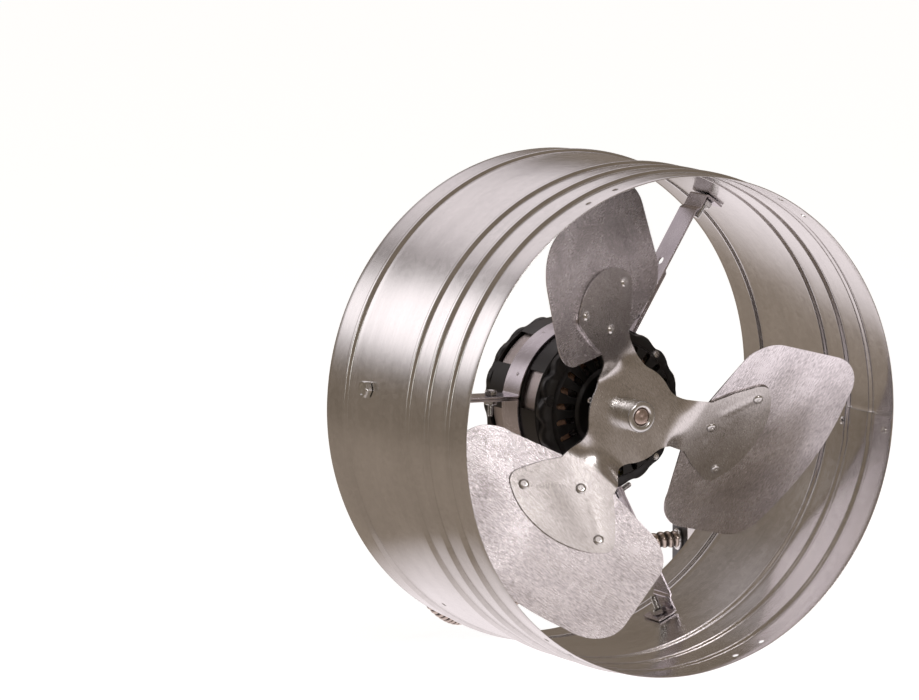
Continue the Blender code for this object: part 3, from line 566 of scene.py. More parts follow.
def moulded(name, dark, light, roughness=0.5):
    look = Look(name, metallic=0.0, roughness=roughness)
    cloud = look.cloud(60, 3)
    grain = look.cloud(900, 2)
    return look.finish(Base_Color=look.mix(cloud, dark, light),
                       Roughness=look.span(grain, roughness - 0.08, roughness + 0.08),
                       Normal=look.bump(grain, 0.00005, 0.5))


LOOKS = {
    "housing": rolled_sheet("housing_sheet", (0.7, 0.69, 0.68), (0.82, 0.81, 0.8), 0.17, 0.25),
    "strap": plated("strap_strip", (0.62, 0.58, 0.62), (0.74, 0.7, 0.74), 0.2, 0.32, 45),
    "blade": spangled("blade_sheet", (0.48, 0.455, 0.465), (0.98, 0.95, 0.97), 0.2, 0.3, 90, 0.00014, 0.04),
    "spider": spangled("spider_sheet", (0.56, 0.54, 0.525), (0.78, 0.76, 0.74), 0.19, 0.28,
                       60, 0.00003, 0.03),
    "hub": plated("hub_turned", (0.72, 0.73, 0.72), (0.85, 0.85, 0.84), 0.1, 0.22, 80, True),
    "shaft": plated("shaft_turned", (0.46, 0.36, 0.31), (0.66, 0.54, 0.48), 0.2, 0.36, 200, True, 0.00004),
    "zinc": plated("zinc_plate", (0.66, 0.66, 0.64), (0.86, 0.86, 0.85), 0.14, 0.3, 150),
    "rivet": plated("rivet_metal", (0.68, 0.68, 0.66), (0.86, 0.85, 0.84), 0.14, 0.3, 250),
    "motor": painted("motor_black", (0.006, 0.0055, 0.005), (0.014, 0.012, 0.011), 0.28, 0.46),
    "core": laminated("lamination_steel"),
    "coil": wound("copper_coils"),
    "sleeve": moulded("yellow_sleeve", (0.62, 0.5, 0.05), (0.86, 0.74, 0.14), 0.4),
    "bronze": plated("bearing_bronze", (0.32, 0.22, 0.1), (0.46, 0.33, 0.17), 0.3, 0.45, 200),
    "conduit": strip_wound("conduit_strip"),
    "box": painted("box_black", (0.014, 0.013, 0.013), (0.045, 0.042, 0.04), 0.32, 0.5),
    "cover": plated("cover_plate", (0.62, 0.61, 0.59), (0.8, 0.79, 0.78), 0.18, 0.32, 40),
    "dial": moulded("dial_plastic", (0.012, 0.012, 0.012), (0.03, 0.03, 0.03), 0.42),
    "mark": moulded("white_mark", (0.7, 0.7, 0.68), (0.85, 0.85, 0.83), 0.5),
    "phenolic": moulded("switch_phenolic", (0.3, 0.2, 0.1), (0.42, 0.3, 0.17), 0.45),
}


# ---- conduit and its box

ROUTE = [
    (-24, 253.5, -43.5), (-36.5, 273.5, -46), (-55, 287.5, -52.5), (-75, 293.5, -64.5),
    (-92, 292, -81.5), (-103, 284, -101), (-105.5, 272.5, -121.5), (-98.5, 261, -142),
    (-84.5, 256, -161), (-67, 260, -178), (-47, 270.5, -188.5), (-27.5, 284, -191.5),
    (-10, 295.5, -190.5), (9.5, 307, -191.5), (28.5, 319, -191.5), (47.5, 331, -191.5),
    (66.5, 343, -191.5), (85.5, 355, -191.5), (105, 366.5, -191.5), (124, 378.5, -191.5),
    (143, 390.5, -191.5), (169, 402, -190.8), (191, 406.8, -185.2), (214, 405, -176.9),
]
MOTOR_EXIT = Vector((-20, 205.3, -42)) * MM
BOX_TURN = math.radians(-13.4)
BOX_WAY = Vector((math.cos(BOX_TURN), math.sin(BOX_TURN), 0))
BOX_ENTRY = Vector((250, 396, -171.9)) * MM
BOX_AT = TO_ROW @ Matrix.Translation(BOX_ENTRY + BOX_WAY * 51 * MM) @ Matrix.Rotation(BOX_TURN, 4, "Z")
RIDGE_PITCH = 5.8 * MM
RIDGE_SIDES = 20


def mirrored(end, neighbour, way):
    return neighbour - way * 2 * (neighbour - end).dot(way)


def smooth_line(points, spacing, first_way, last_way):
    """Even points on a smooth curve through the given ones, leaving and arriving the given ways."""
    ends = [mirrored(points[0], points[1], first_way), *points,
            mirrored(points[-1], points[-2], last_way)]
    dense = []
    for a, b, c, d in zip(ends, ends[1:], ends[2:], ends[3:]):
        for k in range(24):
            t = k / 24
            dense.append(0.5 * (2 * b + (c - a) * t + (2 * a - 5 * b + 4 * c - d) * t * t
                                + (3 * b - a - 3 * c + d) * t ** 3))
    dense.append(points[-1])
    total = sum((b - a).length for a, b in zip(dense, dense[1:]))
    count = round(total / spacing)
    line, walked = [dense[0]], 0.0
    for a, b in zip(dense, dense[1:]):
        step = (b - a).length
        while len(line) < count and walked + step >= total * len(line) / count:
            line.append(a.lerp(b, (total * len(line) / count - walked) / step))
        walked += step
    return line + [dense[-1]]


def conduit_line(spacing):
    first_way = Vector((0, 1, 0))
    motor_end = MOTOR_EXIT + first_way * 14.3 * MM
    box_end = BOX_ENTRY - BOX_WAY * 3.6 * MM
    route = [motor_end + first_way * 10 * MM, *(Vector(p) * MM for p in ROUTE), box_end - BOX_WAY * 10 * MM]
    line = smooth_line(route, spacing, first_way, BOX_WAY)
    near = [motor_end.lerp(line[0], k / 10) for k in range(10)]
    far = [line[-1].lerp(box_end, k / 10) for k in range(1, 11)]
    return near + line + far


def conduit():
    """Strip-wound tube: a round ridge winds along it."""
    line = conduit_line(0.72 * MM)
    bm = bmesh.new()
    strip = bm.loops.layers.uv.new("strip")
    rings, marks = [], []
    side = Vector((0, 0, 1))
    walked = 0.0
    for k, here in enumerate(line):
        ahead = (line[min(k + 1, len(line) - 1)] - line[max(k - 1, 0)]).normalized()
        side = (side - ahead * side.dot(ahead)).normalized()
        other = ahead.cross(side)
        if k:
            walked += (here - line[k - 1]).length
        ring = []
        for step in range(RIDGE_SIDES):
            angle = math.tau * step / RIDGE_SIDES
            turns = walked / RIDGE_PITCH - angle / math.tau
            radius = (5.5 + 1.75 * abs(math.cos(math.pi * turns)) ** 0.7) * MM
            spot = here + side * radius * math.cos(angle) + other * radius * math.sin(angle)
            ring.append(bm.verts.new(spot))
        rings.append(ring)
        marks.append(walked / RIDGE_PITCH)
    for one, two, start, end in zip(rings, rings[1:], marks, marks[1:]):
        for step in range(RIDGE_SIDES):
            after = (step + 1) % RIDGE_SIDES
            face = bm.faces.new((one[step], one[after], two[after], two[step]))
            corners = ((start, step), (start, step + 1), (end, step + 1), (end, step))
            for loop, (along, side_of_it) in zip(face.loops, corners):
                loop[strip].uv = (along - side_of_it / RIDGE_SIDES, along)
    bm.faces.new(rings[0])
    bm.faces.new(rings[-1])
    tube = make("conduit_wound", bm, "conduit", ["flexible_conduit"], sharp=80)
    path = [TO_ROW @ p for p in conduit_line(6 * MM)]
    return tube, path


def notched(profile, first):
    """Lathe with eight notches round its profile points from first to the fifth."""
    def notch(k, angle):
        return 1 - 0.06 * (math.cos(8 * angle) > 0.72) if first <= k <= 5 else 1

    return lathe(profile, 96, shape=notch)


def connector(name, node, matrix):
    """Clamp connector: locknut with notches, body and two clamp screws."""
    profile = [(0, 0), (9.0, 0), (11.2, 0.2), (11.5, 0.6), (11.5, 3.4), (11.2, 3.9), (9.2, 4.2),
               (9.2, 5.0), (9.9, 5.6), (9.9, 12.8), (9.5, 13.5), (8.4, 14.0), (7.5, 14.0), (7.3, 12), (0, 12)]
    pieces = [make(name, notched(profile, 2), "cover", [node], matrix)]
    for k, angle in enumerate((35, 145)):
        at = matrix @ spin(angle) @ shift(0, 9.2, 9.2)
        screw = lathe([(0, 0), (2.4, 0), (2.4, 1.6), (1.8, 2.2), (0, 2.3)], 24)
        bmesh.ops.rotate(screw, verts=screw.verts, matrix=Matrix.Rotation(math.radians(90), 3, "X"))
        pieces.append(make(f"{name}_screw_{k + 1}", screw, "zinc", (), at))
    return pieces


def locknut(name, node, matrix):
    """Notched ring round the conduit's end at the box."""
    profile = [(0, 0), (8.8, 0), (9.3, 0.4), (9.4, 0.8), (9.4, 2.2), (9.0, 2.8), (8.2, 3.0), (7.4, 3.0),
               (7.2, 2.6), (0, 2.6)]
    return [make(name, notched(profile, 1), "cover", [node], matrix)]


def slotted_screw(name, node, matrix, radius):
    """Round-head machine screw along Y with a slot, head towards -Y."""
    profile = [(0, -2.1), (radius * 0.5, -1.95), (radius * 0.82, -1.4), (radius, -0.5), (radius, 0),
               (1.5, 0), (1.5, 8.5), (0, 8.8)]
    made = make(name, lathe(profile, 32), "zinc", [node], matrix)
    groove = bmesh.new()
    slab(groove, (0.9, 1.6, 9), shift(0, -1.9, 0))
    carve(made, groove)
    return made


def thermostat():
    """Box with knock-outs, cover plate, screws, dial and its scale."""
    pieces = []
    bm = bmesh.new()
    slab(bm, (102, 38, 54), Matrix())
    front = min(bm.faces, key=lambda f: f.calc_center_median().y)
    bmesh.ops.inset_region(bm, faces=[front], thickness=1.6 * MM)
    inner = bmesh.ops.extrude_discrete_faces(bm, faces=[front])["faces"][0]
    bmesh.ops.translate(bm, verts=inner.verts, vec=(0, 36.4 * MM, 0))
    box = make("thermostat_case", bm, "box", ["thermostat_box"], BOX_AT)
    ring = bmesh.new()
    for x, z in ((-27, 27), (27, 27), (-27, -27), (27, -27)):
        spot = Vector((x, 2, z))
        up = Vector((0, 0, 1 if z > 0 else -1))
        rod(ring, 10.4, spot - up * 0.35, spot + up * 1.0, 40)
    carve(box, ring)
    soften(box, 0.9, 3, 50)
    pieces.append(box)
    for k, (x, z) in enumerate(((-27, 26.45), (27, 26.45), (-27, -26.45), (27, -26.45)), 1):
        bm = lathe([(0, -0.3), (9.4, -0.3), (9.9, 0), (9.9, 0.35), (0, 0.35)], 40)
        at = BOX_AT @ shift(x, 2, z) @ spin(90 if z < 0 else -90, "X")
        pieces.append(make(f"knockout_{k}", bm, "box", (), at))
    outline = []
    for cx, cz, start in ((48, 23.8, 0), (-48, 23.8, 90), (-48, -23.8, 180), (48, -23.8, 270)):
        outline += arc((cx, cz), 3, start, start + 90, 6)
    plate = make("thermostat_plate", plate_of(outline, 1.2), "cover", ["thermostat_cover"],
                 BOX_AT @ shift(0, -19.9, 0))
    soften(plate, 0.35)
    pieces.append(plate)
    face = BOX_AT @ shift(0, -20.8, 0)
    for k, side in enumerate((-1, 1), 1):
        at = face @ shift(side * 42, 0, 0) @ spin(math.degrees(0.5) * side)
        pieces.append(slotted_screw(f"plate_screw_{k}", f"cover_screw_{k}", at, 3.3))
    ticks = bmesh.new()
    for k in range(11):
        long = 2.6 if k % 5 == 0 else 1.7
        slab(ticks, (long, 0.1, 0.5), spin(45 - 27 * k) @ shift(16.6 + long / 2, 0.24, 0))
    pieces.append(make("dial_ticks", ticks, "dial", (), face))

    def ribs(k, angle):
        return 1 + 0.022 * math.cos(36 * angle) if 2 <= k <= 4 else 1

    profile = [(0, -10.6), (11.2, -10.8), (13.4, -10.3), (14.0, -9.6), (14.6, -2.0), (14.9, -0.4), (3, -0.4),
               (3, 6), (0, 6)]
    dial = make("dial_knob", lathe(profile, 216, shape=ribs), "dial", ["thermostat_dial"],
                face, body="dial")
    pointer = bmesh.new()
    slab(pointer, (1.3, 0.3, 8.5), shift(0, -10.75, 7.6))
    pieces += [dial, make("dial_pointer", pointer, "mark", (), face, body="dial")]
    return pieces


def cord_group():
    tube, path = conduit()
    at_box = BOX_AT @ shift(-51.3, 0, 0) @ spin(90, "Z")
    on_it = locknut("box_locknut", "box_conduit_fitting", at_box) + thermostat()
    on_it += connector("motor_connector", "motor_conduit_fitting", TO_ROW @ Matrix.Translation(MOTOR_EXIT))
    on_it.append(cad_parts["thermostat_switch"])


# ---- drum

BEAD_RISE = 2.3
BEAD_REACH = 4.6
EDGE = 0.36                         # rounding of the sheet's cut rims
LAP_START = -2.5 % 360
LAP_END = -9.2 % 360
LAP_GROOVE = 0.32                   # degrees
RIM_HOLE_DEPTH = 11.4


def bead_lift(y):
    """How far the wall stands out at y (mm) because of a bead."""
    for middle in BEADS:
        away = abs(y - middle)
        if away < BEAD_REACH:
            rise = min((BEAD_REACH - away) / 3.3, 1)
            return BEAD_RISE * rise * rise * (3 - 2 * rise)
    return 0.0


def edge_round(y):
    """How far each face of the sheet draws in at y (mm) where its cut edge is rounded."""
    near = min(y, DRUM_DEPTH - y, EDGE)
    return EDGE - math.sqrt(EDGE ** 2 - (EDGE - near) ** 2)


def wall_depths():
    depths = [0.0, 0.03, 0.1, 0.2, EDGE]
    while depths[-1] < DRUM_DEPTH:
        y = depths[-1]
        near = min(abs(y - m) for m in BEADS)
        step = 0.5 if near < 5.0 else min(6.0, max(0.6, near - 4.8))
        depths.append(min(y + step, DRUM_DEPTH))
    return depths[:-1] + [DRUM_DEPTH - inside for inside in (EDGE, 0.2, 0.1, 0.03, 0.0)]


def dent(angle, y):
    """Slow waviness of rolled sheet, in mm."""
    where = Vector((math.cos(angle) * 2.1, math.sin(angle) * 2.1, y / 75))
    fine = Vector((math.cos(angle) * 6.5, math.sin(angle) * 6.5, y / 32))
    return 0.5 * noise.noise(where) + 0.12 * noise.noise(fine)


def drum():
    depths = wall_depths()
    steps = 288
    angles = [360 * k / steps for k in range(steps)]
    angles += [LAP_START, LAP_START - 0.02, LAP_START + 0.04, LAP_START + LAP_GROOVE, LAP_END, LAP_END + 0.02]
    angles.sort()
    bm = bmesh.new()
    sheet = bm.loops.layers.uv.new("sheet")
    rings = []
    for angle in angles:
        lap = SHEET if LAP_END + 0.01 < angle < LAP_START - 0.01 else 0
        if LAP_START + 0.01 < angle < LAP_START + LAP_GROOVE - 0.01:
            lap = -0.35
        lift = {y: bead_lift(y) + min(dent(math.radians(angle), y), 0.0) for y in depths}
        ring = [(DRUM_RADIUS + lift[y] - edge_round(y), y) for y in depths]
        ring += [(DRUM_RADIUS - SHEET - lap + lift[y] + edge_round(y), y) for y in reversed(depths)]
        rings.append([(bm.verts.new(on_axis(r, angle, y) * MM), y * MM) for r, y in ring])
    wide = math.tau * DRUM_RADIUS * MM
    for n, (one, two) in enumerate(zip(rings, rings[1:] + rings[:1])):
        start = angles[n] / 360 * wide
        end = (angles[n + 1] if n + 1 < len(angles) else 360) / 360 * wide
        for k in range(len(one)):
            after = (k + 1) % len(one)
            face = bm.faces.new((one[k][0], one[after][0], two[after][0], two[k][0]))
            for loop, u, v in zip(face.loops, (start, start, end, end),
                                  (one[k][1], one[after][1], two[after][1], two[k][1])):
                loop[sheet].uv = (u, v)
    shell = make("drum_sheet", bm, "housing", ["housing_shell"], sharp=50)
    holes = bmesh.new()
    for pair in (57.0, 110.5, -123.0, -69.5):
        for side in (-3.75, 3.75):
            spot = [on_axis(r, pair + side, RIM_HOLE_DEPTH) for r in (190, 200)]
            rod(holes, 2.5, *spot)
    rod(holes, 2.3, on_axis(190, -128.7, 158), on_axis(200, -128.7, 158))
    carve(shell, holes)
    soften(shell, 0.15, 1, 60)
    for k, depth in enumerate((9.4, 68.5, 137, 203), 1):
        profile = [(0, -1.35), (1.6, -1.2), (2.9, -0.75), (3.6, -0.1), (3.6, 0.1), (1.8, 0.1), (1.8, 1.7),
                   (3.2, 1.75), (3.1, 2.3), (2.2, 2.9), (0.9, 3.0), (0.7, 2.6), (0, 2.6)]
        at = turned(SEAM_ANGLE) @ shift(DRUM_RADIUS, depth, 0) @ spin(90, "Z")
        make(f"seam_rivet_set_{k}", lathe(profile, 32), "rivet", [f"seam_rivet_{k}"], at)


# ---- straps and fasteners

ARM_END = math.degrees(math.asin((STRAP_OFFSET - 2.3) / 194.3))
BOLT_TURN = ARM_END - 2.6


def strap_path():
    """Middle line of a strap: foot, joggled arm, third of the band round the motor, ear."""
    band = 65.6
    foot = 194.25
    ear = STRAP_OFFSET - 1.9
    start = math.degrees(math.asin(STRAP_OFFSET / band)) + 1.2
    end = 120 + math.degrees(math.asin(ear / band)) - 1.2
    path = arc((0, 0), foot, ARM_END - 5.1, ARM_END - 0.7, 6)
    path += [(foot - 0.6, STRAP_OFFSET - 2.3), (181.8, STRAP_OFFSET - 2.3), (179.2, STRAP_OFFSET)]
    path += [(band + 0.6, STRAP_OFFSET)] + arc((0, 0), band, start, end, 60)
    turn = Matrix.Rotation(math.radians(120), 2)
    path += [tuple(turn @ Vector((x, ear))) for x in (band + 0.6, 125)]
    return rounded([Vector(p) for p in path], 2.6)


def straps():
    for k, angle in enumerate(STRAP_ANGLES, 1):
        half = STRAP_WIDTH / 2
        bm = plate_of(ribbon(strap_path(), STRAP_THICKNESS), STRAP_WIDTH)
        at = turned(angle) @ shift(0, STRAP_DEPTH, 0)
        strap = make(f"strap_strip_{k}", bm, "strap", [f"motor_strap_{k}"], at, 25)
        holes = bmesh.new()
        rod(holes, 3.3, (131, 0, -12), (131, 0, 2), 32)
        rod(holes, 3.3, on_axis(199, BOLT_TURN, 0), on_axis(188, BOLT_TURN, 0), 24)
        for side in (-1, 1):
            slab(holes, (4.5, 4.5, 6), spin(-120) @ shift(125, side * half, -7.4) @ spin(45, "Z"))
        carve(strap, holes)
        strap.data.transform(TO_ROW.inverted() @ at)
        strap.matrix_world = TO_ROW
        soften(strap, 0.6, 3, 50)
        for j, (turn, y) in enumerate(((22, -2), (62, 3), (98, -3)), 1):
            dome = lathe([(0, -0.55), (0.8, -0.45), (1.4, -0.2), (1.8, 0.1), (1.8, 0.6), (0, 0.6)], 24)
            spot = turned(angle + turn) @ shift(66.4, STRAP_DEPTH + y, 0) @ spin(90, "Z")
            make(f"strap_dimple_{k}{'abc'[j - 1]}", dome, "strap", (), spot)


def bolt(across, head, shank, length, dish=0.5, pitch=1.0):
    """Hex bolt along Y: head at y < 0 with a dished top, threaded shank to y = length (mm)."""
    corner = across / 2 / math.cos(math.pi / 6)
    profile = [(0, dish - head), (0.5 * corner, dish - head), (0.62 * corner, -head),
               (0.84 * corner, -head), (0.93 * corner, -0.88 * head), (corner, -0.7 * head),
               (corner, -0.25), (0.9 * corner, 0), (shank, 0)]
    y = 1.2
    while y < length - 0.8:
        profile += [(shank, y), (shank - 0.55 * pitch, y + 0.5 * pitch)]
        y += pitch
    profile += [(shank * 0.9, length - 0.5), (shank * 0.7, length), (0, length)]
    return lathe(profile, 48, shape=lambda k, a: hexagon(a) if 4 <= k <= 7 else 1)


def nut(across, height, hole):
    corner = across / 2 / math.cos(math.pi / 6)
    profile = [(hole, 0.4), (hole + 0.5, 0), (0.86 * corner, 0), (corner, 0.14 * height),
               (corner, 0.86 * height), (0.86 * corner, height), (hole + 0.5, height), (hole, height - 0.4)]
    return lathe(profile, 48, closed=True,
                 shape=lambda k, a: hexagon(a) if 2 <= k <= 5 else 1)


def fasteners():
    for k, angle in enumerate(STRAP_ANGLES, 1):
        loose = spin(17 * k + 8)
        foot = turned(angle + BOLT_TURN) @ shift(0, STRAP_DEPTH, 0)
        inward = spin(90, "Z")
        clamp = turned(angle) @ shift(84, STRAP_DEPTH, 0)
        across = spin(90, "X")
        for name, node, bm, seat in (
                ("foot_bolt", "housing_bolt", bolt(12.7, 5.5, 3.1, 19.8, 0.9, 1.25),
                 foot @ shift(196.8, 0, 0) @ inward),
                ("foot_nut", "housing_nut", nut(11.4, 5.2, 3.3), foot @ shift(193.1, 0, 0) @ inward @ loose),
                ("band_bolt", "clamp_bolt", bolt(9.5, 3.6, 2.2, 17, 0.4, 0.8),
                 clamp @ shift(0, 0, -8.5) @ across),
                ("band_nut", "clamp_nut", nut(9.5, 3.6, 2.4), clamp @ shift(0, 0, -4.4) @ across @ loose)):
            make(f"{name}_{k}", bm, "zinc", [f"{node}_{k}"], seat)


# ---- motor

def bell(name, node, front):
    """End bell with radial slots in its face, a scalloped rim and windows in its side."""
    profile = [
        (8.5, -55.2), (12.6, -55.2), (13.4, -54.9), (14.2, -53.6), (15.4, -52.6), (33, -52.5),
        (34, -52.3), (36.5, -50.6), (53, -50), (54.4, -48.6), (55.4, -46.4), (61, -46), (62.9, -45),
        (64.2, -42.8), (64.4, -41.5), (64.4, -37.6), (64.1, -37), (63.2, -36.7), (63.2, -36.2),
        (64.3, -35.4), (64.4, -0.2), (62.3, -0.2), (62.3, -35), (61, -36), (60.3, -43.3), (53, -43.6),
        (51, -47.4), (36, -48), (33, -50), (8.5, -50.1),
    ]
    lobed = {12: 0.5, 13: 0.85, 14: 1.0, 15: 1.0, 16: 0.8}

    def scallop(k, angle):
        if k not in lobed:
            return 1
        wave = 0.5 - 0.5 * math.cos(18 * angle + 0.6)
        return 1 - 0.05 * lobed[k] * wave ** 1.6

    at = TO_ROW @ shift(0, MOTOR_MIDDLE, 0) @ (Matrix() if front else spin(180, "X"))
    made = make(name, lathe(profile, 216, closed=True, shape=scallop), "motor", [node],
                at, 40)
    slots = [15 * k + 7.5 for k in range(24)]
    cuts = bmesh.new()
    for angle in slots:
        slab(cuts, (12, 9, 4.8), spin(-angle) @ shift(45, -49, 0))
    carve(made, cuts)
    cuts = bmesh.new()
    for angle in slots:
        for r in (39, 51):
            rod(cuts, 2.38, on_axis(r, angle, -53.5), on_axis(r, angle, -44.4), 20)
    carve(made, cuts)
    cuts = bmesh.new()
    for k in range(6):
        slab(cuts, (10, 20, 31), spin(-44 - 60 * k) @ shift(63, -24.5, 0))
    for angle in STUD_ANGLES:
        rod(cuts, 2.5, on_axis(STUD_CIRCLE, angle, -50), on_axis(STUD_CIRCLE, angle, -40), 20)
    carve(made, cuts)
    soften(made, 0.35, 2, 50)


def coil_ring(name, node, side):
    """End turns of the windings: overlapping lumps of wire round the bore."""
    turns = [math.tau * k / 24 for k in range(24)]
    profile = [(45 + 4.8 * math.cos(angle), 5.7 * math.sin(angle)) for angle in turns]

    def lumps(k, angle):
        return 1 + 0.02 * math.cos(24 * angle + 2.5 * math.cos(turns[k]))

    make(name, lathe(profile, 288, closed=True, shape=lumps), "coil", [node],
         TO_ROW @ shift(0, MOTOR_MIDDLE + side * 39.3, 0))
    sleeves = bmesh.new()
    for angle in (21, 66, 96, 141, 156, 186, 208, 231, 276, 321):
        rod(sleeves, 1.6, on_axis(50.2, angle - 4, side * -6.2), on_axis(52.4, angle + 3, side * 4.5), 16)
    make(name + "_sleeves", sleeves, "sleeve", (),
         TO_ROW @ shift(0, MOTOR_MIDDLE + side * 40.2, 0))


def motor():
    bell("bell_front", "motor_front_bell", True)
    bell("bell_rear", "motor_rear_bell", False)
    profile = [(36, -33), (61.2, -33), (61.5, -32.7), (61.5, 32.7), (61.2, 33), (36, 33)]
    make("core_stack", lathe(profile, 144, closed=True), "core", ["stator_core"],
         TO_ROW @ shift(0, MOTOR_MIDDLE, 0))
    coil_ring("coil_front", "stator_winding_front", -1)
    coil_ring("coil_rear", "stator_winding_rear", 1)
    head = 46.3
    stud = [(0, -head - 1.9), (0.7, -head - 2.6), (2.2, -head - 2.5), (3.1, -head - 1.4), (3.4, -head),
            (2.2, -head), (2.2, head), (3.4, head), (3.4, head + 1.8), (2.6, head + 2.4), (0, head + 2.6)]
    for k, angle in enumerate(STUD_ANGLES, 1):
        make(f"motor_stud_{k}", lathe(stud, 32), "zinc", [f"motor_through_bolt_{k}"],
             TO_ROW @ shift(*on_axis(STUD_CIRCLE, angle, MOTOR_MIDDLE)))
    plug = [(0, 0), (2.2, 0), (2.4, -0.6), (4.2, -0.8), (4.6, -0.3), (4.6, 3), (0, 3)]
    make("oil_plug", lathe(plug, 32), "motor", (),
         TO_ROW @ shift(*on_axis(STUD_CIRCLE, 169, 106.2)))
    screw = [(0, -1.5), (1.4, -1.3), (2.3, -0.5), (2.4, 0.2), (2.4, 2), (0, 2)]
    make("bearing_screw", lathe(screw, 32), "zinc", (),
         TO_ROW @ shift(*on_axis(26, 157.6, 100)))


# ---- fan

def ripple(u, v, k):
    """Slight waviness of a pressed blade, in mm, strongest away from the arm."""
    far = min(max((u - 70) / 70, 0), 1)
    return far * 1.1 * noise.noise(Vector((u / 75, v / 42, 3.7 * k + 1.3)))


def blade_depth(u, v, k):
    """Front of blade k, with u along its arm and v across it: pitched and dished."""
    flat = 75.4 + 0.014 * u - 0.559 * v - 0.00029 * u * u - 0.00075 * u * v - 0.00048 * v * v
    return flat + ripple(u, v, k)


def spider_depth(x, z):
    """Front of the spider: flat disc, arms twisted onto the blades, two stiffening creases in each."""
    best = SPIDER_FRONT
    for k, angle in enumerate(ARM_ANGLES):
        turn = math.radians(angle)
        u = x * math.cos(turn) + z * math.sin(turn)
        v = z * math.cos(turn) - x * math.sin(turn)
        if u > abs(v) * math.tan(math.radians(30)):
            share = min(max((u - 35) / 21, 0), 1)
            share = share * share * (3 - 2 * share)
            on_blade = blade_depth(u, v, k) - LAP_GAP - SPIDER_THICKNESS
            best = SPIDER_FRONT + (on_blade - SPIDER_FRONT) * share
            for start, end in (((76, 12), (97, 31.5)), ((76, -11), (97, -31.5))):
                along = Vector(end) - Vector(start)
                t = (Vector((u, v)) - Vector(start)).dot(along) / along.length_squared
                away = (Vector((u, v)) - Vector(start) - along * min(max(t, 0), 1)).length
                best -= 0.35 * math.exp(-(away / 1.6) ** 2)
    return best


def blade_outline():
    points = [(60, -21)] + arc((98, -55), 28, 185, 270, 14) + arc((140, -55), 28, 270, 328, 10)
    points += arc((0, 0), BLADE_TIP, -19.5, 14, 24) + arc((139.5, 43.5), 32.5, 12, 90, 14)
    points += arc((92, 52.5), 24.5, 90, 172, 12) + [(60, 21)]
    return points


def arm_outline():
    fillet, neck = 22, 19.5
    centre = (math.sqrt((39 + fillet) ** 2 - (neck + fillet) ** 2), neck + fillet)
    meet = math.degrees(math.atan2(centre[1], centre[0]))
    half = arc((61, 0), 58, 0, 33, 14) + arc((96.5, 31), 10.5, 40, 120, 12) + [(75, 31), (62, 21.5)]
    half += arc(centre, fillet, 270, 180 + meet, 12) + arc((0, 0), 39, meet, 60, 8)[1:]
    lower = [(x, -y) for x, y in half[:0:-1]]
    return lower + half[:-1]


def pressed(outline, depth, thickness, grid, turn=0):
    """Outline (mm) gridded, pressed to depth(x, z), given its thickness and turned about the axis."""
    bm = bmesh.new()
    bm.faces.new([bm.verts.new((x, 0, z)) for x, z in outline])
    low = [min(p[k] for p in outline) for k in (0, 1)]
    high = [max(p[k] for p in outline) for k in (0, 1)]
    for axis, normal in ((0, (1, 0, 0)), (1, (0, 0, 1))):
        count = max(1, round((high[axis] - low[axis]) / grid))
        for k in range(1, count):
            where = low[axis] + (high[axis] - low[axis]) * k / count + 0.037
            geometry = [*bm.verts, *bm.edges, *bm.faces]
            bmesh.ops.bisect_plane(bm, geom=geometry, dist=1e-4, plane_co=Vector(normal) * where,
                                   plane_no=normal)
    for vertex in bm.verts:
        vertex.co.y = depth(vertex.co.x, vertex.co.z)
    thicken(bm, bm.faces[:], thickness)
    bmesh.ops.scale(bm, verts=bm.verts, vec=(MM, MM, MM))
    sheet = bm.loops.layers.uv.new("sheet")
    for face in bm.faces:
        for loop in face.loops:
            loop[sheet].uv = (loop.vert.co.x, loop.vert.co.z)
    bmesh.ops.rotate(bm, verts=bm.verts, matrix=Matrix.Rotation(-math.radians(turn), 3, "Y"))
    return bm


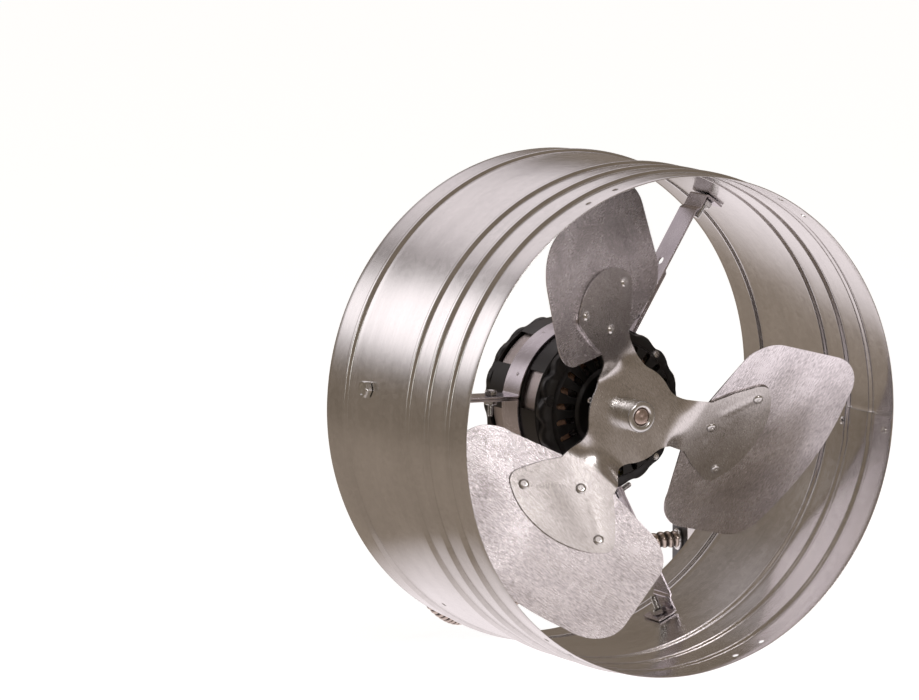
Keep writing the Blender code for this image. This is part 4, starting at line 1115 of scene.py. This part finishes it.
def fan():
    outline = []
    for angle in sorted(a % 360 for a in ARM_ANGLES):
        turn = Matrix.Rotation(math.radians(angle), 2)
        outline += [tuple(turn @ Vector(p)) for p in arm_outline()]
    spider = make("spider_pressing", pressed(outline, spider_depth, SPIDER_THICKNESS, 2.5), "spider",
                  ["fan_spider"], sharp=45, body="fan_rotor")
    soften(spider, 0.35, 2, 50)
    rivet = [(0, -0.8), (0.9, -0.8), (1.2, -1.5), (2.4, -1.55), (3.4, -1.3), (4.0, -0.7), (4.2, 0),
             (2.1, 0), (2.1, 3.3), (3.7, 3.4), (3.5, 4.4), (2.2, 5.1), (0, 5.2)]
    for k, angle in enumerate(ARM_ANGLES):
        bm = pressed(blade_outline(), lambda u, v: blade_depth(u, v, k), BLADE_THICKNESS, 3.5, angle)
        blade = make(f"blade_sheet_{k + 1}", bm, "blade", [f"fan_blade_{k + 1}"],
                     sharp=45, body="fan_rotor")
        soften(blade, 0.3, 2, 50)
        for letter, (u, v) in zip("abc", RIVETS):
            slope_u = blade_depth(u + 1, v, k) - blade_depth(u - 1, v, k)
            slope_v = blade_depth(u, v + 1, k) - blade_depth(u, v - 1, k)
            normal = Vector((-slope_u / 2, 1, -slope_v / 2)).normalized()
            tilt = Vector((0, 1, 0)).rotation_difference(normal).to_matrix().to_4x4()
            make(f"blade_rivet_set_{k + 1}{letter}", lathe(rivet, 32), "rivet",
                 [f"blade_rivet_{k + 1}{letter}"],
                 turned(angle) @ shift(u, blade_depth(u, v, k) - 2.1, v) @ tilt, body="fan_rotor")
    profile = [(6.65, 62.6), (7.2, 61.6), (8.1, 60.7), (8.8, 60.5), (10.9, 60.5), (11.9, 60.9), (12.5, 61.7),
               (12.6, 62.4), (12.6, 71.2), (12.35, 71.4), (12.35, 72.2), (12.6, 72.4), (12.6, 78.6),
               (16.2, 78.6), (16.6, 79.0), (16.6, 85.4), (16.0, 86), (6.65, 86)]
    hub = make("hub_turning", lathe(profile, 96, closed=True), "hub", ["fan_hub"],
               body="fan_rotor")
    hole = bmesh.new()
    rod(hole, 3.0, (0, SET_SCREW_DEPTH, 0), on_axis(20, SET_SCREW_ANGLE, SET_SCREW_DEPTH), 24)
    carve(hub, hole)
    screw = [(0, -3.2), (1.4, -3.2), (1.4, -0.9), (1.9, -0.3), (2.5, -0.3), (2.6, 0.1), (2.6, 5.4), (0, 5.4)]
    make("hub_grub_screw", lathe(screw, 24), "motor", ["hub_set_screw"],
         turned(SET_SCREW_ANGLE) @ shift(12.6, SET_SCREW_DEPTH, 0) @ spin(90, "Z"), body="fan_rotor")
    profile = [(0, 61.7), (0.8, 61.4), (1.4, 61.3), (5.3, 61.3), (5.9, 61.6), (6.35, 62.2), (6.35, 205.2),
               (5.6, 206), (0, 206)]
    make("shaft_bar", lathe(profile, 64), "shaft", ["motor_shaft"], body="fan_rotor")


def carried_over():
    """Hidden pieces of the motor keep their CAD shape and get worked materials."""
    looks = {"front_bearing": "bronze", "rear_bearing": "bronze", "rotor_core": "core",
             "thermostat_switch": "phenolic"}
    for node, look in looks.items():
        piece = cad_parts[node]
        piece.data.materials.clear()
        piece.data.materials.append(LOOKS[look])


make_camera()
cord_group()
drum()
straps()
fasteners()
motor()
fan()
carried_over()
make_studio()
